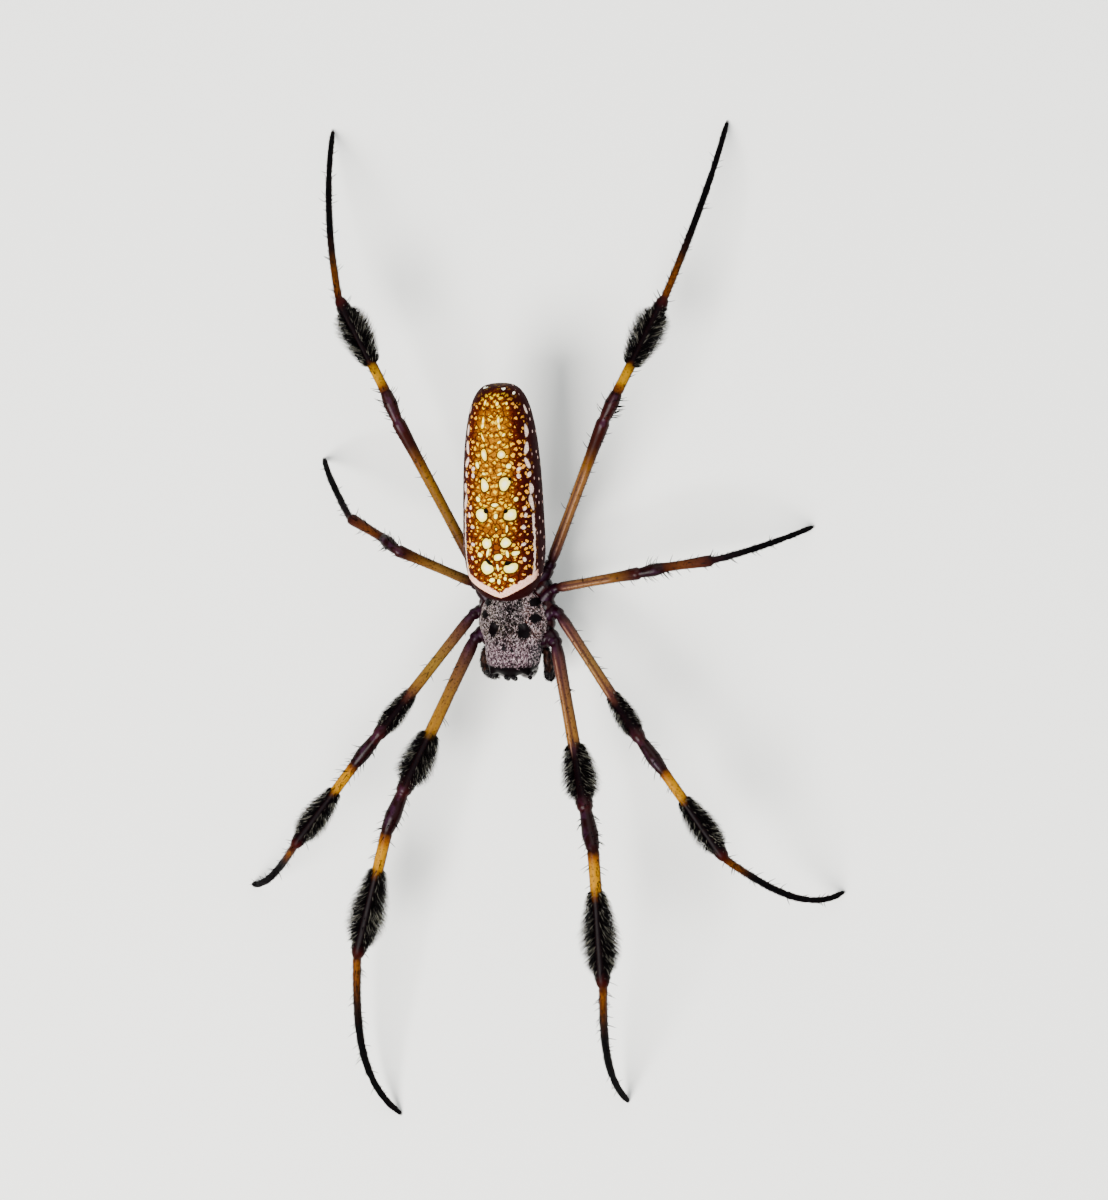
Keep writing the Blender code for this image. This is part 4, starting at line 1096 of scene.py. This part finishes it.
# Shell colours along the legs of each pair, as (station, colour), in lines from femur to foot.
MAROON = (18, 1, 7)
KNEE = (34, 4, 5)
PATELLA = (20, 2, 3)
BLACK = (1, 1, 2)
STRIPE = (6, 1, 3)
AMBER = (108, 74, 24)
HONEY = (148, 100, 0)
ORANGE = (94, 50, 0)
LEG_COLOURS = {
    1: (
        (0.99, MAROON), (1.04, (34, 10, 12)), (1.12, (62, 36, 26)), (1.22, (84, 54, 28)), (1.38, AMBER),
        (1.56, (124, 84, 18)), (1.64, STRIPE), (1.9, STRIPE), (1.98, KNEE),
        (2.06, KNEE), (2.2, PATELLA), (2.85, PATELLA),
        (3.01, (26, 4, 3)), (3.06, (108, 58, 4)), (3.13, HONEY), (3.25, HONEY),
        (3.34, (60, 28, 2)), (3.38, STRIPE), (3.88, STRIPE), (3.95, (34, 3, 3)),
        (4.0, (40, 10, 2)), (4.03, ORANGE), (4.12, (76, 36, 0)), (4.24, (30, 12, 4)), (4.36, BLACK),
    ),
    2: (
        (0.99, MAROON), (1.04, (34, 10, 12)), (1.12, (68, 40, 28)), (1.22, (92, 62, 34)),
        (1.4, (110, 82, 28)), (1.55, (108, 74, 26)), (1.66, (60, 30, 22)), (1.73, STRIPE),
        (1.9, STRIPE), (1.98, KNEE),
        (2.06, KNEE), (2.2, PATELLA), (2.85, PATELLA),
        (3.0, (30, 5, 4)), (3.05, (108, 58, 4)), (3.12, HONEY), (3.27, HONEY),
        (3.35, (60, 28, 2)), (3.39, STRIPE), (3.88, STRIPE), (3.95, (36, 3, 4)),
        (4.0, (44, 10, 2)), (4.05, ORANGE), (4.12, (66, 30, 2)), (4.19, (14, 5, 4)), (4.26, BLACK),
    ),
    3: (
        (0.99, MAROON), (1.06, (48, 20, 12)), (1.2, (88, 60, 26)),
        (1.5, (104, 72, 28)), (1.75, (80, 48, 16)), (1.92, (40, 14, 10)),
        (2.0, KNEE), (2.1, PATELLA), (2.9, PATELLA),
        (3.05, (50, 20, 6)), (3.35, (72, 36, 12)), (3.8, (50, 20, 12)),
        (4.0, (24, 6, 8)), (4.1, (16, 8, 12)), (4.3, BLACK),
    ),
    4: (
        (0.99, MAROON), (1.05, (44, 16, 8)), (1.14, (74, 44, 14)), (1.3, (98, 66, 20)),
        (1.6, (106, 70, 14)), (1.72, (80, 44, 10)), (1.82, (36, 10, 6)), (1.95, (38, 8, 5)),
        (2.0, KNEE), (2.1, (44, 10, 8)), (2.3, (34, 6, 6)), (2.85, (32, 8, 6)), (2.99, (26, 4, 3)),
        (3.05, (90, 46, 2)), (3.11, (140, 98, 0)), (3.21, (140, 98, 0)), (3.3, (44, 16, 2)),
        (3.34, STRIPE), (3.88, STRIPE), (3.95, (34, 3, 4)),
        (4.0, (44, 12, 4)), (4.04, (84, 42, 2)), (4.16, (78, 38, 2)), (4.26, (24, 6, 2)), (4.38, BLACK),
    ),
}


def leg_material(pair):
    """Shell of one pair of legs: colour bands by station, painted shade on the flanks and underside, fine dark
    specks.

    The femur has a dark stripe along its top. On her left, where the light falls, it also has a painted pink
    sheen, a painted highlight beside the stripe and painted shade added to the stripe. Hips and patella have a
    faint painted lilac sheen and a thin coat.
    """
    constants = {"Specular IOR Level": 0.035, "Coat Roughness": 0.22}
    material, tree, shader = start_material(f"leg{pair}_shell", constants)
    lay = lay_place(tree)
    around, station = split(lay, 0), split(lay, 1)
    place = object_place(tree)
    cloud = noise(place, 1.1, 3.0)
    along = (station + (cloud - 0.5) * 0.07) / TOE_STATION
    stops = [(stop / TOE_STATION, Colour(*screen)) for stop, screen in LEG_COLOURS[pair]]
    colour = node(tree, "ShaderNodeValToRGB", {"stops": stops}, (along,))
    femur = station.step(1.03, 1.12) * (1.0 - station.step(1.6, 1.7))
    # Her left side, where the light falls: it carries the painted sheen, highlight and extra shade on the
    # femur.
    left = split(place, 0).step(0.0, 5.0)
    # Painted sheen: a pink tint on the femurs of her left legs.
    colour = blend_colour(left * femur * 0.2, colour, Colour(96, 56, 62))
    # Dark stripe along the femur's top, made darker on her left by painted shade.
    groove = (1.0 - abs(around + 0.03).step(0.015, 0.05)) * femur
    colour = blend_colour(groove * (left * 0.45 + 0.2), colour, Colour(34, 10, 22))
    # Painted highlight: a pale line beside the stripe, on her left only.
    painted_ridge_highlight = (1.0 - abs(around - 0.05).step(0.0, 0.03)) * femur * cloud
    colour = blend_colour(painted_ridge_highlight * left * 0.45, colour, Colour(206, 160, 130))
    # Painted shade: the sides and underside of each leg are darkened.
    painted_flank_shade = (abs(around) + (cloud - 0.5) * 0.1).step(0.14, 0.24)
    colour = blend_colour(painted_flank_shade * 0.6, colour, Colour(26, 8, 8))
    specks = cells(place, 3.6)
    colour = blend_colour((1.0 - specks.step(0.18, 0.38)) * 0.6, colour, Colour(24, 8, 4))
    dark = (1.0 - station.step(1.02, 1.15)).high(station.step(1.9, 1.97) * (1.0 - station.step(2.9, 3.0)))
    # Painted sheen: a faint lilac line along the top of the hips, knees and patella, in patches.
    painted_lilac_sheen = dark * (1.0 - abs(around - 0.03).step(0.03, 0.1)) * cloud.step(0.42, 0.6)
    colour = blend_colour(painted_lilac_sheen * 0.14, colour, Colour(84, 50, 84))
    rough = noise(place, 2.5, 3.0) * 0.2 + 0.28 + station.step(4.1, 4.4) * 0.4
    relief = noise(place, 7.0, 3.0) * 0.6 + specks * 0.2
    finish_material(tree, shader, colour, rough, relief, strength=0.3)
    tree.links.new((dark * 0.1).socket, shader.inputs["Coat Weight"])
    return material


def leg_hair_material():
    """Black hair lightened towards its tips by painted sheen, with a few hairs painted pale grey as glints."""
    constants = {"Roughness": 0.6, "Specular IOR Level": 0.03}
    material, tree, shader = start_material("brush_hair", constants)
    glint = mark(tree, "Glint")
    reach = mark(tree, "Reach")
    # Painted sheen: the hair lightens towards its tips.
    colour = blend_colour(reach.step(0.3, 1.0) * 0.25, Colour(2, 1, 3), Colour(26, 18, 18))
    # Painted glints: a few hairs turn pale grey.
    light = glint.step(*LIGHT_GLINTS) * reach.step(0.0, 0.6, 0.35, 0.9)
    colour = blend_colour(light, colour, Colour(150, 148, 132))
    finish_material(tree, shader, colour)
    return material


def shell_material(name, dark, light, roughness=0.25):
    """Glossy shell that shifts between two colours, with a fine grain."""
    material, tree, shader = start_material(name, {"Specular IOR Level": 0.1})
    place = object_place(tree)
    colour = blend_colour(noise(place, 1.5, 3.0).step(0.35, 0.7), Colour(*dark), Colour(*light))
    rough = noise(place, 3.0, 2.0) * 0.2 + roughness - 0.1
    finish_material(tree, shader, colour, rough, noise(place, 9.0, 3.0), strength=0.25, distance=0.00004)
    return material


# Mouthparts, pedicel, spinnerets, eyes and claws

JAW_ROUTE = ((1.05, -6.3, 6.6), (1.1, -7.0, 6.0), (1.1, -7.35, 5.0), (1.0, -7.25, 4.0), (0.85, -6.95, 3.0),
             (0.75, -6.7, 2.6))
JAW_SIZES = (1.7, 1.85, 1.8, 1.6, 1.25, 0.9)
FANG_ROUTE = ((0.78, -6.7, 2.8), (0.6, -6.2, 2.25), (0.45, -5.75, 2.35), (0.35, -5.4, 2.6))
FANG_SIZES = (0.7, 0.55, 0.36, 0.1)
PALP_ROUTE = ((1.7, -5.2, 5.2), (2.6, -5.0, 5.2), (3.15, -5.5, 5.5), (3.3, -6.3, 5.6), (3.3, -7.1, 5.2),
              (3.2, -7.7, 4.6), (3.0, -8.1, 3.8), (2.8, -8.3, 3.0))
PALP_SIZES = (0.9, 0.85, 0.8, 0.85, 0.9, 0.95, 0.8, 0.5)
PEDICEL_ROUTE = ((0.0, -0.4, 6.4), (0.0, 0.8, 6.3), (0.0, 2.0, 6.5), (0.0, 3.6, 7.4))
PEDICEL_SIZES = (1.3, 1.3, 1.1, 1.4)
# Hair on jaws and palps, as (name, route, sizes, how many, longest).
TUBE_HAIR = (("jaw", JAW_ROUTE, JAW_SIZES, 500, 0.5), ("palp", PALP_ROUTE, PALP_SIZES, 1300, 0.62))
FLESH_STATIONS = (0.1, 0.3, 0.5, 0.68)
FLESH_AT_PALP = ((1.7, -5.2, 5.2), (2.1, -5.1, 5.2), (2.6, -5.0, 5.2), (3.0, -5.3, 5.4))
FLESH_SIZES = (1.8, 1.8, 1.7, 1.3)
SPINNERET_BASE = (-0.4, 20.2)
SPINNERET_UNDER = 2.6
SPINNERET_BASE_SIZES = (1.9, 2.0, 1.4)
SPINNERETS = ((0.55, -0.1, 1.0), (0.5, 0.7, 0.85))      # how far apart, how far behind the base, size
# Eyes on the left, as (x, y, z, radius).
EYES = {
    "front_middle": (0.38, -7.95, 7.35, 0.27),
    "rear_middle": (0.36, -7.75, 8.05, 0.27),
    "front_side": (2.05, -7.72, 7.85, 0.23),
    "rear_side": (2.3, -7.2, 8.3, 0.23),
}
CLAW_SPREAD = 0.07
CLAW_LOWEST_Z = 0.05
CLAW_SIZES = (0.1, 0.08, 0.03)


def mirrored(route, sign):
    """A route on the left side, or its mirror image on the right."""
    return [(sign * x, y, z) for x, y, z in route]


def make_head_parts(dark, amber, hair):
    """Jaws, fangs and palps with their hair."""
    for side, sign in SIDES:
        jaw = tube_piece(f"jaw_{side}", mirrored(JAW_ROUTE, sign), JAW_SIZES, count=60, sides=28)
        dress(jaw, dark, [f"chelicera_{side}"])
        fang = tube_piece(f"fang_claw_{side}", mirrored(FANG_ROUTE, sign), FANG_SIZES, count=40, sides=16)
        dress(fang, dark, [f"fang_{side}"])
        palp = tube_piece(f"palp_shell_{side}", mirrored(PALP_ROUTE, sign), PALP_SIZES, count=80, sides=24)
        dress(palp, amber, [f"palp_{side}"])
        for name, route, sizes, count, longest in TUBE_HAIR:
            fuzz = tube_hair(f"{name}_hair_{side}", mirrored(route, sign), sizes, count, longest)
            dress(fuzz, hair)


def make_hip_flesh(dark):
    """Soft flesh that fills the corners between the hips, and between the front hip and the palp."""
    for side, sign in SIDES:
        rows = [mirrored(FLESH_AT_PALP, sign)]
        for pair in LEG_LENGTHS:
            line, station, _ = leg_line(f"leg{pair}_{side}")
            rows.append(line[np.searchsorted(station, FLESH_STATIONS)])
        for number, (ahead, behind) in enumerate(zip(rows[:-1], rows[1:])):
            route = 0.5 * np.add(ahead, behind)
            flesh = tube_piece(f"hip_flesh_{number}_{side}", route, FLESH_SIZES, count=30, sides=20)
            dress(flesh, dark)


def make_spinnerets(dark):
    """A low base and four blunt cones under the tail."""
    base_z = ABDOMEN_FRONT[2] + SPINNERET_BASE[1] * math.sin(ABDOMEN_LIFT) - SPINNERET_UNDER
    base = np.array((*SPINNERET_BASE, base_z))
    stem_route = (base + (0, 0, 0.8), base, base + (0, 0.1, -0.7))
    stem = tube_piece("spinneret_base", stem_route, SPINNERET_BASE_SIZES, count=40, sides=28)
    dress(stem, dark, ["spinnerets"])
    for number, (spread, place, size) in enumerate(SPINNERETS):
        for side, sign in SIDES:
            route = (base + (sign * spread * 0.5, place, 0.0), base + (sign * spread, place + 0.3, -1.0),
                     base + (sign * spread * 0.8, place + 0.5, -1.7))
            sizes = (size, size * 0.9, size * 0.45)
            cone = tube_piece(f"spinneret_{number}_{side}", route, sizes, count=30, sides=18)
            dress(cone, dark)


def make_eyes():
    """Eight domes, one for each eye: each point is centre + radius * direction on a grid of angles."""
    material = shell_material("eye_gloss", (4, 3, 4), (16, 12, 14), 0.12)
    rows, around = 12, 20
    polar = np.linspace(0.15, math.pi - 0.15, rows)[:, None]
    turn = np.linspace(-math.pi, math.pi, around, endpoint=False)[None, :]
    directions = (np.sin(polar) * np.cos(turn), np.sin(polar) * np.sin(turn), np.cos(polar))
    ball = np.stack(np.broadcast_arrays(*directions), -1)
    lay = np.zeros((rows, around + 1, 2))
    for label, (x, y, z, radius) in EYES.items():
        for side, sign in SIDES:
            centre = np.array((sign * x, y, z))
            ends = centre + (0, 0, radius), centre - (0, 0, radius)
            eye = ring_skin(f"eye_{label}_{side}_lens", centre + ball * radius, *ends, lay)
            dress(eye, material, [f"eye_{label}_{side}"])


def make_claws(dark):
    """Two small hooks at each toe, side by side and level with the floor."""
    for name in POSES:
        line, _, radius = leg_line(name)
        ahead, side, _ = path_frames(line)
        level = unit(ahead[-1] * (1, 1, 0))
        for label, sign in (("outer", 1.0), ("inner", -1.0)):
            root = line[-1] + ahead[-1] * radius[-1] * 0.3 + side[-1] * sign * CLAW_SPREAD
            route = np.array((root, root + level * 0.16 + (0, 0, 0.03), root + level * 0.27 - (0, 0, 0.02)))
            route[:, 2] = np.maximum(route[:, 2], CLAW_LOWEST_Z)
            claw = tube_piece(f"{name}_claw_{label}", route, CLAW_SIZES, count=12, sides=8)
            dress(claw, dark)


# Floor, light and camera

# The camera's target and distance, half the height of its frame there, and the floor, in millimetres.
TARGET = np.array((4.1, 0.0, 6.3))
CAMERA_DISTANCE = 450.0
CAMERA_TILT = math.radians(15.0)
CAMERA_PITCH = math.radians(8.0)
FRAME_HALF_HEIGHT = 60.0
SENSOR_HEIGHT = 24.0
FLOOR_HALF_SIZE = 1500.0
# Lights turned to the model's middle, as (name, place in metres, size in metres, watts, colour).
LIGHTS = (
    ("key", (-0.18, -0.25, 0.57), 0.4, 12.5, (1.0, 0.97, 0.95)),
    ("fill", (0.5, 0.2, 0.55), 0.9, 4.2, (0.9, 0.95, 1.0)),
    ("back", (0.1, 0.6, 0.45), 0.7, 4.2, (1.0, 1.0, 1.0)),
)
SKY_COLOUR = (0.86, 0.88, 0.9, 1.0)
SKY_STRENGTH = 0.25


def place_in_model(point):
    """From the spider's own frame in millimetres to the model's in metres."""
    return np.array(point) * MM + SHIFT


def aim(thing, position, toward_up, backward):
    """Puts a camera or light at a place with its back to one direction and its top to another."""
    right = unit(np.cross(toward_up, backward))
    up = np.cross(backward, right)
    matrix = np.eye(4)
    matrix[:3, 0], matrix[:3, 1], matrix[:3, 2], matrix[:3, 3] = right, up, backward, position
    thing.matrix_world = Matrix(matrix.tolist())


def make_camera():
    """The photograph's view: from above, leaning to the spider's left and to her tail."""
    tilt, pitch = CAMERA_TILT, CAMERA_PITCH
    back = np.array((math.sin(tilt) * math.cos(pitch), math.sin(pitch), math.cos(tilt) * math.cos(pitch)))
    right = np.array((math.cos(tilt), 0.0, -math.sin(tilt)))
    data = bpy.data.cameras.new("camera")
    data.sensor_fit = "VERTICAL"
    data.sensor_height = SENSOR_HEIGHT
    data.lens = 0.5 * SENSOR_HEIGHT * CAMERA_DISTANCE / FRAME_HALF_HEIGHT
    data.clip_start = 0.01
    data.clip_end = 20.0
    camera = bpy.data.objects.new("camera", data)
    bpy.context.scene.collection.objects.link(camera)
    aim(camera, place_in_model(TARGET + back * CAMERA_DISTANCE), np.cross(back, right), back)
    bpy.context.scene.camera = camera


def make_floor():
    """A plain pale floor."""
    points = np.array(((-1, -1, 0), (1, -1, 0), (1, 1, 0), (-1, 1, 0))) * FLOOR_HALF_SIZE
    floor = put_mesh("floor", points, (np.array(((0, 1, 2, 3),)),))
    material, tree, shader = start_material("floor_paint", {"Roughness": 0.75})
    colour = blend_colour(noise(object_place(tree), 0.02, 2.0), Colour(243, 244, 239), Colour(247, 248, 243))
    finish_material(tree, shader, colour)
    floor.data.materials.append(material)


def add_light(name, position, size, watts, colour):
    """A square soft light that faces the model's middle."""
    data = bpy.data.lights.new(name, "AREA")
    data.size = size
    data.energy = watts
    data.color = colour
    light = bpy.data.objects.new(name, data)
    bpy.context.scene.collection.objects.link(light)
    aim(light, np.array(position), (0.0, 1.0, 0.01), unit(np.array(position)))


def make_light():
    """Soft light: a key from ahead and her right, a cooler fill from her left, one behind and an even sky."""
    for light in LIGHTS:
        add_light(*light)
    world = bpy.data.worlds.new("studio")
    world.use_nodes = True
    sky = world.node_tree.nodes["Background"]
    sky.inputs["Color"].default_value = SKY_COLOUR
    sky.inputs["Strength"].default_value = SKY_STRENGTH
    bpy.context.scene.world = world


def make_body(dark):
    """Abdomen, carapace with its pile, and the pedicel between them."""
    dress(abdomen_skin(), abdomen_material(), ["abdomen"])
    dress(carapace_skin(), carapace_material(), ["cephalothorax"])
    dress(carapace_pile(), pile_material())
    pedicel = tube_piece("pedicel_skin", PEDICEL_ROUTE, PEDICEL_SIZES, count=40, sides=24)
    dress(pedicel, dark, ["pedicel"])


def make_legs(hair):
    """Shell and hair of each leg."""
    shells = {pair: leg_material(pair) for pair in LEG_LENGTHS}
    for name in POSES:
        dress(leg_skin(name), shells[pair_of(name)], [f"{name}_{part}" for part in LEG_NODES])
        for piece in leg_hair(name):
            dress(piece, hair)


def main():
    """Camera, light and floor, then the spider."""
    make_camera()
    make_light()
    make_floor()
    dark = shell_material("dark_shell", (8, 4, 6), (36, 9, 10))
    amber = shell_material("palp_shell", (10, 7, 10), (58, 32, 20))
    hair = leg_hair_material()
    make_body(dark)
    make_head_parts(dark, amber, hair)
    make_hip_flesh(dark)
    make_spinnerets(dark)
    make_eyes()
    make_legs(hair)
    make_claws(dark)


main()
